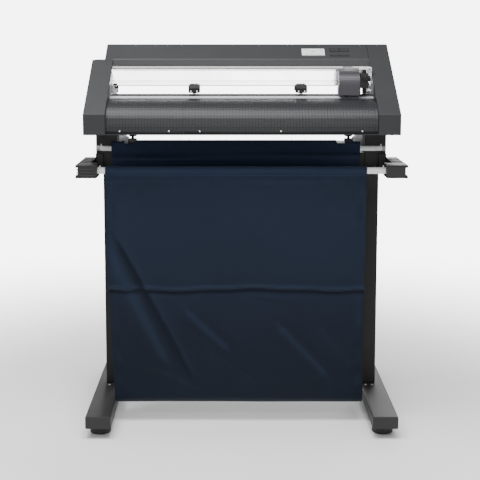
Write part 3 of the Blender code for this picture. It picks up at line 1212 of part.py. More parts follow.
def basket_fabric():
    """The hanging cloth: rear flap, long fold down to the bottom, front panel and front hem."""
    rear = BAR_Y - BASKET_BAR_RADIUS - FABRIC_EASE - FABRIC_SHEET
    over_tube = BASKET_TUBE_RADIUS + FABRIC_EASE
    front = TUBE_Y - over_tube
    bottom_front = front + FABRIC_FRONT_LEAN
    bottom_rear = rear - FABRIC_REAR_LEAN
    bottom = FOOT_TOP + FABRIC_ABOVE_FEET + FABRIC_SHEET
    middle = ((bottom_front + bottom_rear) / 2, bottom + FABRIC_BOTTOM_RISE)
    fold = arc(middle, ((bottom_rear - bottom_front) / 2, FABRIC_BOTTOM_RISE), 0, -180, 12)
    hem = arc((TUBE_Y, TUBE_Z), (over_tube, over_tube), 180, 0, 12)
    path = [(rear, BAR_Z + BASKET_BAR_RADIUS + FABRIC_FLAP), (rear, BEAM_LOW), *fold, *hem,
            (TUBE_Y + over_tube, TUBE_Z - FABRIC_HEM)]
    section = thickened(path, FABRIC_SHEET)
    return add_object("basket_fabric", prism("X", section, FABRIC_LEFT, FABRIC_RIGHT), FABRIC)


# --------------------------------------------------------------------------------------- assembly
left_side_cover()
right_side_cover()
top_cover()
lcd_screen()
panel_keys()
base_pan()
y_rail()
platen("platen_left", -INNER + GAP, PLATEN_SEAM_X - GAP / 2)
platen("platen_right", PLATEN_SEAM_X + GAP / 2, INNER - GAP)
cutting_mat()
rear_guide()
drive_roller()
drive_gear()
feed_pinion()
feed_motor()
carriage_motor()
timing_belt()
pulley("drive_pulley", PULLEY_X, SHELF_LOW + GAP, None)
pulley("idler_pulley", -PULLEY_X, SHELF_HIGH + GAP, 0.003 + GAP)
carriage_plate()
carriage_cover()
tool_holder()
blade_holder()
clamp_knob()
lift_shaft()
media_lever()
for arm_side, arm_x in (("left", PUSH_LEFT_X), ("right", PUSH_RIGHT_X)):
    push_arm(f"push_arm_{arm_side}", arm_x)
    push_roller(f"push_roller_{arm_side}", arm_x)
power_inlet()
power_switch()
power_supply()
circuit_board()
cross_beam()
stock_shaft()
basket_rear_bar()
basket_front_tube()
basket_fabric()
for hand in (-1, 1):
    side_frame(hand)
    roller_bearing(hand)
    post(hand)
    foot(hand)
    stocker_arm(hand)
    roll_stopper(hand)
    basket_arm(hand)
    for reach in (-1, 1):
        levelling_foot(hand, reach)
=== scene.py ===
"""Looks of the vinyl cutter: finishes for every piece, the cloth of its basket, trim, light and camera.

Metres, +Z up, -Y towards the operator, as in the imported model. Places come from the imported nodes'
own boxes. New pieces are surfaces on numpy grids, each with its formula in its docstring.
"""
import math

import bmesh
import bpy
import numpy as np
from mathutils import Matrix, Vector


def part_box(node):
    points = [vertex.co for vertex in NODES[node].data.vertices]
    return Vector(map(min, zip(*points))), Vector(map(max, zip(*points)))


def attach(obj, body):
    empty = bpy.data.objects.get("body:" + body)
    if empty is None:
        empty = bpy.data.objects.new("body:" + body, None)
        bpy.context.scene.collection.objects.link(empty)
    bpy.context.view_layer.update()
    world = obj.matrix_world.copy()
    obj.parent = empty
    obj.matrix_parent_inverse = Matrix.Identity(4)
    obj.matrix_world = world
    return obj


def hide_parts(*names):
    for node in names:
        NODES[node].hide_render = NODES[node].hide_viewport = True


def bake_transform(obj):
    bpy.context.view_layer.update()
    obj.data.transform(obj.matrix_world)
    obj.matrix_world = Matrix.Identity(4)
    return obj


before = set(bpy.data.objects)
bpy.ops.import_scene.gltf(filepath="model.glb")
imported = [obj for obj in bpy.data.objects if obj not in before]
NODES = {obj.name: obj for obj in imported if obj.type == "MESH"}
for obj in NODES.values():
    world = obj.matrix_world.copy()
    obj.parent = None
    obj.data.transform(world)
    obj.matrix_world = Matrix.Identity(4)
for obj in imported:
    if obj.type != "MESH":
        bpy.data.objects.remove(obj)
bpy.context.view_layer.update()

# ---- camera, light, floor
CAMERA_PLACE = (-0.032, -3.255, 1.086)
CAMERA_PITCH = math.radians(7.86)
CAMERA_LENS = 83.3
CAMERA_SHIFT = (0.0208, -0.10)
CAMERA_SENSOR = 36.0
FLOOR_SIZE = 14.0
FLOOR_COLOUR = (0.93, 0.93, 0.93)
FLOOR_FADE = (0.7, 2.6)       # the distances between which it fades out
BACKDROP_BRIGHTNESS = 6.5     # the paper behind the cutter, as the eye sees it
ROOM_BRIGHTNESS = 0.34        # the room's own light on the cutter


def place_camera():
    """The camera stands in front of the cutter and looks slightly down."""
    camera = bpy.data.objects.new("camera", bpy.data.cameras.new("camera"))
    camera.data.lens = CAMERA_LENS
    camera.data.sensor_width = CAMERA_SENSOR
    camera.data.shift_x, camera.data.shift_y = CAMERA_SHIFT
    camera.location = CAMERA_PLACE
    camera.rotation_euler = (math.pi / 2 - CAMERA_PITCH, 0, 0)
    bpy.context.collection.objects.link(camera)
    bpy.context.scene.camera = camera


def soft_light(name, place, aim, size, power):
    """A large lamp, its size (width, height), that faces a point."""
    lamp = bpy.data.lights.new(name, "AREA")
    lamp.shape = "RECTANGLE"
    lamp.size, lamp.size_y = size
    lamp.energy = power
    made = bpy.data.objects.new(name, lamp)
    made.visible_camera = False
    made.location = place
    made.rotation_euler = Vector(np.subtract(aim, place)).to_track_quat("-Z", "Y").to_euler()
    bpy.context.collection.objects.link(made)


def light_studio():
    """White paper behind, a dim room, lamps overhead and behind, a strip and a low card in front."""
    world = bpy.data.worlds.new("studio")
    world.use_nodes = True
    tree = world.node_tree
    room = tree.nodes["Background"]
    room.inputs["Strength"].default_value = ROOM_BRIGHTNESS
    room.inputs["Color"].default_value = (1, 1, 1, 1)
    paper = tree.nodes.new("ShaderNodeBackground")
    paper.inputs["Strength"].default_value = BACKDROP_BRIGHTNESS
    paper.inputs["Color"].default_value = (1, 1, 1, 1)
    seen = tree.nodes.new("ShaderNodeLightPath")
    either = tree.nodes.new("ShaderNodeMixShader")
    tree.links.new(seen.outputs["Is Camera Ray"], either.inputs[0])
    tree.links.new(room.outputs[0], either.inputs[1])
    tree.links.new(paper.outputs[0], either.inputs[2])
    tree.links.new(either.outputs[0], tree.nodes["World Output"].inputs[0])
    bpy.context.scene.world = world
    soft_light("overhead_lamp", (-0.35, -0.80, 2.9), (0, -0.05, 0.7), (2.4, 1.6), 120)
    soft_light("rear_lamp", (0.5, 2.8, 1.8), (0, 0, 0.7), (2.4, 1.6), 75)
    soft_light("front_strip", (0, -2.5, 1.9), (0, -0.2, 0.7), (2.6, 0.34), 19)
    soft_light("rail_card", (0, -3.30, 0.865), (0, -0.10, 0.98), (1.8, 0.40), 22)


# ---- finishes
RIB_PITCH = 0.0085
HOLE_PITCH = 0.0085
PLATEN_CREST = (0.900, 0.905)  # the heights over which the air holes begin
BELT_PITCH = 0.002
DISPLAY_CELL = 0.0022
DISPLAY_BARS = (                # shares of the panel: bottom, top, left, right
    (0.46, 0.56, 0.42, 0.56),
    (0.70, 0.76, 0.12, 0.34),
    (0.66, 0.72, 0.70, 0.88),
    (0.22, 0.27, 0.14, 0.80),
)
BAR_EDGE = 0.02
THREAD_PITCH = 0.0011
STITCH_PITCH = 0.0050
RELIEF = "relief"              # the cloth's attribute: ridges above 0, hollows below; it carries the folds' painted shade and highlight


class Value:
    """A number on the surface; the usual operators on it add Math nodes."""

    def __init__(self, finish, socket):
        self.finish = finish
        self.socket = socket

    def math(self, operation, *others):
        settings = {"operation": operation}
        made = self.finish.node("ShaderNodeMath", settings, dict(enumerate((self, *others))))
        return Value(self.finish, made.outputs[0])

    def __add__(self, other):
        return self.math("ADD", other)

    def __mul__(self, other):
        return self.math("MULTIPLY", other)

    def __sub__(self, other):
        return self.math("SUBTRACT", other)

    def __rsub__(self, other):
        return self * -1 + other

    def __neg__(self):
        return self * -1

    def __abs__(self):
        return self.math("ABSOLUTE")

    __radd__ = __add__
    __rmul__ = __mul__

    def ridge(self, pitch):
        """A wave of the given pitch, from -1 to 1."""
        return (self * (2 * math.pi / pitch)).math("SINE")

    def rises(self, low, high):
        """0 below low, 1 above high, and smooth between them."""
        made = self.finish.node("ShaderNodeMapRange", {"interpolation_type": "SMOOTHSTEP"},
                                {"Value": self, "From Min": low, "From Max": high})
        return Value(self.finish, made.outputs[0])


class Finish:
    """One material, and the nodes that paint it."""

    def __init__(self, name, colour, roughness, metallic=0.0, **uniform):
        self.material = bpy.data.materials.new(name)
        self.material.use_nodes = True
        self.tree = self.material.node_tree
        self.shader = self.tree.nodes["Principled BSDF"]
        self.colour = (*colour, 1.0)
        self.material.diffuse_color = self.colour
        self.shader.inputs["Base Color"].default_value = self.colour
        self.shader.inputs["Roughness"].default_value = roughness
        self.shader.inputs["Metallic"].default_value = metallic
        for socket, value in uniform.items():
            self.shader.inputs[socket.replace("_", " ")].default_value = value

    def node(self, kind, settings=None, values=None):
        """A node of that kind: its settings first, then its sockets' values or links."""
        made = self.tree.nodes.new(kind)
        for name, setting in (settings or {}).items():
            setattr(made, name, setting)
        for name, value in (values or {}).items():
            self.feed(made.inputs[name], value)
        return made

    def feed(self, socket, value):
        """Links a socket, or sets it."""
        source = value.socket if isinstance(value, Value) else value
        if isinstance(source, bpy.types.NodeSocket):
            self.tree.links.new(source, socket)
        else:
            socket.default_value = source

    def place(self, of="Object"):
        """The point on the object, or in the piece's own UV map, as a vector socket."""
        return self.node("ShaderNodeTexCoord").outputs[of]

    def axes(self, of="Object"):
        """The same point's three numbers."""
        split = self.node("ShaderNodeSeparateXYZ", values={0: self.place(of)})
        return [Value(self, socket) for socket in split.outputs]

    def noise(self, scale, detail=3.0, stretch=(1, 1, 1), of="Object"):
        """Cloudy noise from 0 to 1, finer where stretch is larger."""
        point = self.node("ShaderNodeVectorMath", {"operation": "MULTIPLY"},
                          {0: self.place(of), 1: stretch}).outputs[0]
        made = self.node("ShaderNodeTexNoise", values={"Vector": point, "Scale": scale, "Detail": detail})
        return Value(self, made.outputs[0])

    def blend(self, factor, first, second):
        """The first colour turning into the second as factor rises."""
        made = self.node("ShaderNodeMix", {"data_type": "RGBA", "clamp_factor": True},
                         {0: factor, 6: first, 7: second})
        return made.outputs[2]

    def paint(self, colour=None, roughness=None, height=None, depth=0.0001, strength=1.0):
        """What varies over the surface: colour, roughness, and height in units of depth."""
        if colour is not None:
            self.feed(self.shader.inputs["Base Color"], colour)
        if roughness is not None:
            self.feed(self.shader.inputs["Roughness"], roughness)
        if height is not None:
            bump = self.node("ShaderNodeBump", values={"Height": height, "Distance": depth,
                                                        "Strength": strength})
            self.feed(self.shader.inputs["Normal"], bump.outputs[0])
        return self.material


def shade(colour, share):
    """A colour made lighter or darker by that share."""
    return tuple(min(part * share, 1.0) for part in colour) + (1.0,)


def moulded(name, colour, roughness, grain=1800, depth=0.00006, **uniform):
    """Moulded plastic: a fine spark-eroded grain, faint clouds in the tone, and rubbed patches."""
    made = Finish(name, colour, roughness, **uniform)
    clouds = made.noise(9, 4)
    pits = made.noise(grain, 2)
    wear_and_painted_light = made.noise(38, 6).rises(0.60, 0.74)
    tone = made.blend(clouds, shade(colour, 0.88), shade(colour, 1.13))
    tone = made.blend(wear_and_painted_light * 0.25, tone, shade(colour, 1.35))
    return made.paint(tone, clouds * 0.10 - wear_and_painted_light * 0.07 + (roughness - 0.05), pits, depth)


def powder_coat(name, colour, roughness):
    """Powder coat: an orange-peel skin with a finer speckle."""
    made = Finish(name, colour, roughness, Specular_IOR_Level=0.3)
    peel = made.noise(420, 3)
    speckle = made.noise(2600, 1)
    dust = made.noise(7, 5)
    tone = made.blend(dust, shade(colour, 0.85), shade(colour, 1.2))
    return made.paint(tone, dust * 0.12 + (roughness - 0.06), peel + speckle * 0.35, 0.00012)


def drawn_metal(name, colour, roughness, stretch, depth=0.00002):
    """Extruded or ground metal: hair-fine lines along the axis that stretch leaves long, and stains."""
    made = Finish(name, colour, roughness, 1.0)
    lines = made.noise(60, 4, stretch)
    stains = made.noise(14, 4)
    tone = made.blend(lines, shade(colour, 0.86), shade(colour, 1.08))
    return made.paint(tone, lines * 0.16 + stains * 0.08 + (roughness - 0.12), lines, depth)


def zinc(name, colour):
    """Zinc plate: overlapping spangles with a fine grain."""
    made = Finish(name, colour, 0.4, 1.0)
    spangle = made.node("ShaderNodeTexVoronoi", values={"Vector": made.place(), "Scale": 260})
    flake = Value(made, spangle.outputs["Distance"])
    grain = made.noise(900, 3)
    tone = made.blend(flake * 1.6, shade(colour, 0.82), shade(colour, 1.1))
    return made.paint(tone, flake * 0.25 + 0.28, grain, 0.00003)


def ribbed_platen(name, colour):
    """The media platen: fine ribs from front to back, and rows of small air holes on its crest."""
    made = Finish(name, colour, 0.42, Specular_IOR_Level=0.25)
    x, y, z = made.axes()
    groove = x.ridge(RIB_PITCH).rises(0.35, 0.95)
    crest = z.rises(*PLATEN_CREST)
    hole = x.ridge(HOLE_PITCH).rises(0.80, 0.93) * y.ridge(HOLE_PITCH).rises(0.80, 0.93) * crest
    clouds = made.noise(11, 4)
    tone = made.blend(clouds, shade(colour, 0.9), shade(colour, 1.1))
    # painted shade in the grooves between the ribs
    tone = made.blend(groove * 0.6, tone, shade(colour, 0.5))
    # painted shade: the air holes are painted near black
    tone = made.blend(hole * 0.8, tone, (0.01, 0.01, 0.01, 1))
    return made.paint(tone, clouds * 0.05 + 0.33, 1 - groove * 0.6 - hole, 0.00025)


def gritted(name, colour):
    """The feed roller's blasted grip: dense bright pips."""
    made = Finish(name, colour, 0.4, 1.0)
    pips = made.noise(1500, 2)
    tone = made.blend(pips, shade(colour, 0.6), shade(colour, 1.15))
    return made.paint(tone, 0.7 - pips * 0.35, pips, 0.00015)


def tyre_rubber(name, colour):
    """Rubber: matt, slightly dusty, with a soft mould bloom."""
    made = Finish(name, colour, 0.8)
    dust = made.noise(45, 6).rises(0.45, 0.8)
    tone = made.blend(dust * 0.5, shade(colour, 1), shade(colour, 2.6))
    return made.paint(tone, 0.72 + dust * 0.18, made.noise(1400, 2), 0.00008)


def toothed_belt(name, colour):
    """The belt: a tooth every 2 mm along its run and a woven back."""
    made = Finish(name, colour, 0.6)
    x = made.axes()[0]
    tooth = x.ridge(BELT_PITCH).rises(-0.3, 0.3)
    tone = made.blend(tooth, shade(colour, 0.75), shade(colour, 1.05))
    return made.paint(tone, tooth * 0.1 + 0.52, tooth + made.noise(1800, 1) * 0.3, 0.0003)


def display(name):
    """The display: pale cells and soft bars under clear glass, inside a dark frame."""
    made = Finish(name, (0.50, 0.51, 0.50), 0.12, Coat_Weight=0.6, Coat_Roughness=0.05)
    x, y, _ = made.axes()
    low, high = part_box("lcd_screen")
    up = (y - float(low[1])) * (1.0 / float(high[1] - low[1]))
    across = (x - float(low[0])) * (1.0 / float(high[0] - low[0]))
    level = up.rises(0.13, 0.15) * (1 - up.rises(0.85, 0.87))
    inside = level * across.rises(0.06, 0.07) * (1 - across.rises(0.93, 0.94))
    cells = x.ridge(DISPLAY_CELL).rises(-0.9, -0.6) * y.ridge(DISPLAY_CELL).rises(-0.9, -0.6)
    panel = made.blend(cells, (0.60, 0.61, 0.60, 1), (0.74, 0.75, 0.76, 1))
    for bottom, top, start, end in DISPLAY_BARS:
        bar = (up.rises(bottom, bottom + BAR_EDGE) * (1 - up.rises(top, top + BAR_EDGE))
               * across.rises(start, start + BAR_EDGE) * (1 - across.rises(end, end + BAR_EDGE)))
        panel = made.blend(bar * 0.7, panel, (0.16, 0.19, 0.26, 1))
    face = made.blend(inside, (0.10, 0.10, 0.11, 1), panel)
    return made.paint(face, made.noise(30, 3) * 0.08 + 0.08, cells * inside, 0.00002)


def board_finish(name):
    """Solder mask: green lacquer over copper runs."""
    made = Finish(name, (0.02, 0.12, 0.05), 0.4)
    x, y, _ = made.axes()
    runs = x.ridge(0.003).rises(0.5, 0.7) + y.ridge(0.0043).rises(0.6, 0.8)
    tone = made.blend(runs * 0.5, (0.015, 0.10, 0.04, 1), (0.05, 0.26, 0.10, 1))
    return made.paint(tone, made.noise(80) * 0.2 + 0.3, runs, 0.00005)


def woven_cloth(name, colour):
    """Plain-woven polyester: thread over thread on the cloth's own map, hems stitched along it.

    The map counts metres across and metres along the cloth. By the relief that the cloth carries,
    the hollows of its folds take painted shade and its ridges a painted highlight.
    """
    made = Finish(name, colour, 0.86, Sheen_Weight=0.06, Sheen_Roughness=0.5, Specular_IOR_Level=0.15)
    across, along, _ = made.axes("UV")
    warp = across.ridge(THREAD_PITCH)
    weft = along.ridge(THREAD_PITCH)
    over = (warp * weft).rises(-0.4, 0.4)
    thread = over * (warp * 0.5 + 0.5) + (1 - over) * (weft * 0.5 + 0.5)
    slub = made.noise(90, 4, (1, 14, 1), "UV")
    worn = made.noise(4.5, 5, of="UV")
    # painted light from above: the front panel is painted lighter towards its top and darker towards its
    # foot
    upper = along.rises(CLOTH_LENGTH - 0.68, CLOTH_LENGTH - 0.14) * 0.72
    # painted light: the hem over the front tube and the rear panel's top under the flap are painted paler
    wear_and_painted_light = along.rises(CLOTH_LENGTH - 0.085, CLOTH_LENGTH - 0.06) + (1 - along.rises(0.05, 0.16)) * 1.5
    tone = made.blend(upper + worn * 0.35 - 0.1, shade(colour, 0.30), shade(colour, 1.35))
    tone = made.blend(wear_and_painted_light * 0.6, tone, shade(colour, 2.7))
    relief = Value(made, made.node("ShaderNodeAttribute", {"attribute_name": RELIEF}).outputs["Fac"])
    # painted shade in the folds' hollows and painted highlight on their ridges, by the relief
    tone = made.blend((-relief).rises(0.0, 1.0) * 0.62, tone, shade(colour, 0.16))
    tone = made.blend(relief.rises(0.0, 1.0) * 0.34, tone, shade(colour, 2.2))
    tone = made.blend(slub * 0.3, tone, shade(colour, 1.7))
    tone = made.blend((1 - thread) * 0.35, tone, shade(colour, 0.45))
    for line in HEM_LINES:
        seam = 1 - abs(along - line).rises(0.0006, 0.0014)
        dashes = across.ridge(STITCH_PITCH).rises(-0.5, -0.1)
        tone = made.blend(seam * dashes * 0.7, tone, shade(colour, 2.4))
        thread = thread + seam * dashes * 1.6
    return made.paint(tone, worn * 0.1 + 0.78, thread + slub * 0.8, 0.00018, 0.9)


COVER = moulded("cover_plastic", (0.0215, 0.0228, 0.0245), 0.50, 1700, Specular_IOR_Level=0.32)
DARK = moulded("dark_plastic", (0.016, 0.016, 0.018), 0.52, Specular_IOR_Level=0.3)
BLACK = moulded("black_plastic", (0.005, 0.005, 0.0055), 0.48, Specular_IOR_Level=0.3)
HOOD = moulded("carriage_plastic", (0.026, 0.025, 0.031), 0.42, 1400, 0.00002, Specular_IOR_Level=0.45)
ARM_PLASTIC = moulded("arm_plastic", (0.022, 0.022, 0.023), 0.55, 1500, 0.0001, Specular_IOR_Level=0.35)
PALE = moulded("pale_plastic", (0.40, 0.40, 0.42), 0.5)
WHITE = moulded("white_coat", (0.93, 0.93, 0.94), 0.38, 1400, 0.00003)
PLATEN = ribbed_platen("platen_plastic", (0.018, 0.019, 0.021))
BLACK_COAT = powder_coat("black_coat", (0.010, 0.011, 0.0095), 0.5)
GREY_COAT = powder_coat("grey_coat", (0.020, 0.020, 0.021), 0.52)
RAIL = drawn_metal("rail_aluminium", (0.93, 0.94, 0.96), 0.20, (0.3, 60, 60), 0.000004)
TUBE = drawn_metal("tube_aluminium", (0.78, 0.79, 0.81), 0.34, (0.3, 40, 40))
GROUND = drawn_metal("ground_steel", (0.62, 0.62, 0.63), 0.30, (0.5, 50, 50))
ZINC_PLATE = zinc("zinc_plate", (0.62, 0.62, 0.63))
MATT_METAL = drawn_metal("matt_metal", (0.30, 0.30, 0.31), 0.45, (0.5, 50, 50))
GRIT = gritted("roller_grit", (0.52, 0.52, 0.53))
RUBBER = tyre_rubber("rubber", (0.018, 0.018, 0.018))
BELT = toothed_belt("belt", (0.60, 0.60, 0.58))
SCREEN = display("display_panel")
BOARD = board_finish("board_lacquer")

FINISHES = {
    COVER: ("left_side_cover", "right_side_cover", "top_cover"),
    DARK: ("rear_guide", "tool_holder", *(f"panel_key_{number}" for number in range(1, 5))),
    HOOD: ("carriage_cover",),
    BLACK: ("blade_holder", "clamp_knob", "push_arm_left", "push_arm_right", "media_lever", "power_inlet",
            "power_switch"),
    ARM_PLASTIC: ("basket_arm_left", "basket_arm_right"),
    PALE: ("cutting_mat", "drive_gear", "roll_stopper_left", "roll_stopper_right"),
    WHITE: ("basket_rear_bar", "basket_front_tube"),
    PLATEN: ("platen_left", "platen_right"),
    BLACK_COAT: ("post_left", "post_right", "cross_beam", "stocker_arm_left", "stocker_arm_right",
                 "feed_motor", "carriage_motor"),
    GREY_COAT: ("base_pan", "foot_left", "foot_right"),
    RAIL: ("y_rail",),
    TUBE: ("drive_pulley", "idler_pulley", "stock_shaft"),
    GROUND: ("feed_pinion", "roller_bearing_left", "roller_bearing_right", "lift_shaft"),
    ZINC_PLATE: ("side_frame_left", "side_frame_right", "power_supply"),
    GRIT: ("drive_roller",),
    RUBBER: ("push_roller_left", "push_roller_right",
             *(f"levelling_foot_{end}_{side}" for end in ("front", "rear") for side in ("left", "right"))),
    MATT_METAL: ("carriage_plate",),
    BELT: ("timing_belt",),
    SCREEN: ("lcd_screen",),
    BOARD: ("circuit_board",),
}


def dress_nodes():
    """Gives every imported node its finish."""
    for finish, names in FINISHES.items():
        for name in names:
            slots = NODES[name].data.materials
            slots.clear()
            slots.append(finish)


# ---- numpy surfaces
SHARP_ANGLE = math.radians(35)
AXES = {"X": (0, 1, 2), "Y": (1, 0, 2), "Z": (2, 0, 1)}   # each axis, then the two across it
POLE = 1e-5                     # a closed end's radius at its middle
SINK = 0.0001                   # a hair between a screw head's seat and the face it sits on


def grid_faces(rows, columns, wrap_rows=False, wrap_columns=False):
    """Corner numbers of a grid's quads, counted row by row, with either direction closed on itself."""
    row = np.arange(rows if wrap_rows else rows - 1)[:, None]
    column = np.arange(columns if wrap_columns else columns - 1)[None, :]
    after_row = (row + 1) % rows
    after_column = (column + 1) % columns
    quads = np.stack(np.broadcast_arrays(row * columns + column, row * columns + after_column,
                                         after_row * columns + after_column,
                                         after_row * columns + column), -1)
    return quads.reshape(-1, 4)


def make_piece(name, points, faces, finish, body, map_points=None, extra=(), outward=False):
    """A mesh from whole arrays, riding on a body unless that is None; extra are closing polygons.

    Where outward is set, its faces are turned to point out.
    """
    mesh = bpy.data.meshes.new(name)
    mesh.from_pydata(np.asarray(points).reshape(-1, 3).tolist(), [],
                     faces.tolist() + [list(map(int, loop)) for loop in extra])
    mesh.materials.append(finish)
    if map_points is not None:
        corner = np.empty(len(mesh.loops), dtype=np.int32)
        mesh.loops.foreach_get("vertex_index", corner)
        layer = mesh.uv_layers.new(name="cloth_map")
        layer.data.foreach_set("uv", map_points.reshape(-1, 2)[corner].astype(np.float32).ravel())
    if outward:
        solid = bmesh.new()
        solid.from_mesh(mesh)
        bmesh.ops.recalc_face_normals(solid, faces=solid.faces)
        solid.to_mesh(mesh)
        solid.free()
    mesh.shade_smooth()
    mesh.set_sharp_from_angle(angle=SHARP_ANGLE)
    made = bpy.data.objects.new(name, mesh)
    bpy.context.collection.objects.link(made)
    if body:
        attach(made, body)
    return made


def stacked(axis, along, rings):
    """A closed solid from rings of points (a, b) stacked at places along an axis, both ends closed."""
    count = rings.shape[1]
    points = np.empty((len(along), count, 3))
    main, first, second = AXES[axis]
    points[..., main] = np.asarray(along)[:, None]
    points[..., first] = rings[..., 0]
    points[..., second] = rings[..., 1]
    last = (len(along) - 1) * count
    ends = [list(range(count)), list(range(last, last + count))]
    return points.reshape(-1, 3), grid_faces(len(along), count, wrap_columns=True), ends


def rounded_bar(axis, along, first, second, soften=0.0008, steps=3):
    """A bar between two places on an axis, over two spans, with every edge rounded.

    Ring(t) is a rectangle with quarter-circle corners; near each end its half sizes shrink by
    r (1 - sin t) while it moves by r (1 - cos t), so that the ends are rounded as well.
    """
    middle = np.array([sum(first) / 2, sum(second) / 2])
    half = np.array([abs(first[1] - first[0]) / 2, abs(second[1] - second[0]) / 2])
    low, high = sorted(along)
    soften = min(soften, half.min() * 0.9, (high - low) * 0.45)
    turn = np.linspace(0, math.pi / 2, steps + 1)
    shrink = soften * (1 - np.sin(turn))
    shift = soften * (1 - np.cos(turn))
    places = np.concatenate([low + shift, (high - shift)[::-1]])
    shrinks = np.concatenate([shrink, shrink[::-1]])
    corner = np.concatenate([turn + quarter * math.pi / 2 for quarter in range(4)])
    signs = np.repeat(np.array([(1, 1), (-1, 1), (-1, -1), (1, -1)]), steps + 1, axis=0)
    circle = np.stack([np.cos(corner), np.sin(corner)], -1)
    rings = middle + signs * (half - soften) + circle * np.maximum(soften - shrinks, 1e-5)[:, None, None]
    return stacked(axis, places, rings)


def turned_part(axis, centre, profile, sides=24, lobes=0, lobe_depth=0.0):
    """A turned solid: ring radius r(t) (1 - depth cos(lobes angle)) about a line along an axis."""
    along, radii = np.asarray(profile, dtype=float).T
    angle = np.linspace(0, 2 * math.pi, sides, endpoint=False)
    reach = radii[:, None] * (1 - lobe_depth * np.cos(lobes * angle))[None, :]
    rings = np.stack([centre[0] + reach * np.cos(angle), centre[1] + reach * np.sin(angle)], -1)
    return stacked(axis, along, rings)


def hollow(ring):
    """A turned part whose two ends meet through its bore: quads join the first ring to the last."""
    points, faces, ends = ring
    first, last = (np.array(end) for end in ends)
    bore = np.stack([last, np.roll(last, -1), np.roll(first, -1), first], -1)
    return points, np.concatenate([faces, bore]), []


def screw_head(axis, centre, seat, out, radius=0.0028):
    """A low domed screw head that stands from its seat towards out (+1 or -1), with a dished socket."""
    rise = out * radius * 0.55
    profile = [(seat, radius), (seat + rise * 0.5, radius), (seat + rise, radius * 0.72),
               (seat + rise, radius * 0.42), (seat + rise * 0.45, radius * 0.38), (seat + rise * 0.4, POLE)]
    return turned_part(axis, centre, profile, 18)


def add_solids(name, shapes, finish, body):
    """One piece from several closed solids."""
    start = 0
    points, faces, ends = [], [], []
    for shape_points, shape_faces, shape_ends in shapes:
        points.append(shape_points)
        faces.append(shape_faces + start)
        ends += [[corner + start for corner in loop] for loop in shape_ends]
        start += len(shape_points)
    return make_piece(name, np.concatenate(points), np.concatenate(faces), finish, body, extra=ends,
                      outward=True)


def span(node, axis):
    """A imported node's span along an axis (0, 1 or 2)."""
    low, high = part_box(node)
    return float(low[axis]), float(high[axis])


def axle(node):
    """The place (y, z) of a round node's axis that runs along X."""
    return [sum(span(node, axis)) / 2 for axis in (1, 2)]


def half_height(node):
    """Half of a round node's height: its radius."""
    low, high = span(node, 2)
    return (high - low) / 2


# ---- the body
RAIL_LIP = 0.003
RAIL_GROOVE = 0.013
CLIP_WIDTH = 0.0100
LEFT_ARM_TRAVEL = 0.200         # the left push-roller arm's slide towards the rail's end
LIP_SCREWS = (-0.328, -0.196, -0.113, 0.105, 0.323)
LIP_SCREW_UP = 0.0068
HEAD_TOP = 0.958                # the top of a push-roller arm's head
TAB_RIDGES = 5
TAB_PITCH = 0.005
PIN_RADIUS = 0.0024
PIN_LENGTH = 0.0012
BRACKET_SHEET = 0.0020
BRACKET_LEG = 0.0125            # the width of the tool bracket's leg
PANEL_SLOPE = math.atan(0.6013)
KEY_FACE = 0.0012               # a key's face above its middle
MARK_SINK, MARK_RISE = 0.0003, 0.00025
MARK_HEADINGS = (90, 270, 180, 0)
MARK_SIZES = (0.0024, 0.0024, 0.0015, 0.0015)
SIDE_SCREW_X = 0.405
SIDE_SCREW_LOW = 0.845
SIDE_SCREW_HIGH = {-1: 0.915, 1: 0.955}
LOUVRE_X = (-0.26, -0.20, 0.14, 0.20)
LOUVRE_LENGTH = 0.042


def rail_trim():
    """Dark strips of painted shade in the rail's grooves and along its lip, and a pale guide plate at its
    left end.
    """
    left, right = span("y_rail", 0)
    low, high = span("y_rail", 2)
    face = span("y_rail", 1)[0] + RAIL_LIP
    places = ((high - 0.0030, 0.0018, face), (low + RAIL_GROOVE, 0.0012, face),
              (low + 0.0004, 0.0022, face - RAIL_LIP))
    # dark strips that stand for the shade in the rail's grooves and along its lip
    shade_strips = [rounded_bar("X", (left + 0.001, right - 0.001), (place - 0.0008, place + 0.0010),
                         (z, z + thick), 0.0003, 1)
             for z, thick, place in places]
    add_solids("rail_shade_strips", shade_strips, RUBBER, "root")
    plate = rounded_bar("Y", (face - 0.004, face + 0.030), (left + 0.0005, left + 0.0145),
                        (low - 0.0195, low - 0.0008), 0.0008)
    add_solids("rail_end_plate", [plate], PALE, "root")
    screws = [screw_head("Y", (left + x, low + z), face - 0.0031, -1, 0.0026)
              for x, z in ((0.006, 0.0045), (0.013, 0.0045), (right - left - 0.006, 0.0045))]
    add_solids("rail_screws", screws, BLACK, "root")


def rail_end_clip():
    """The small black spring clip under the rail's left end, clear of the left arm's travel."""
    left, face, low = (span("y_rail", axis)[0] for axis in range(3))
    right = span("push_arm_left", 0)[0] - LEFT_ARM_TRAVEL - 0.0010
    clip = [rounded_bar("X", (right - CLIP_WIDTH, right), (face - 0.002, face + 0.010),
                        (low - 0.0075, low - 0.0006), 0.0012),
            rounded_bar("X", (left + 0.0050, left + 0.0145), (face - 0.0052, face - 0.0004),
                        (low + 0.0005, low + 0.0065), 0.0012)]
    add_solids("rail_end_clip", clip, BLACK, "root")


def platen_trim():
    """A dark strip along each platen's lip with bright screws in it."""
    front = span("platen_left", 1)[0]
    low = span("platen_left", 2)[0]
    strips = [rounded_bar("X", (span(name, 0)[0] + 0.0008, span(name, 0)[1] - 0.0012),
                          (front - 0.0006, front + 0.0014), (low + 0.0004, low + 0.0072), 0.0004, 2)
              for name in ("platen_left", "platen_right")]
    add_solids("platen_lip_strips", strips, BLACK, "root")
    screws = [screw_head("Y", (x, low + LIP_SCREW_UP), front - 0.0005, -1, 0.0024) for x in LIP_SCREWS]
    add_solids("platen_lip_screws", screws, ZINC_PLATE, "root")


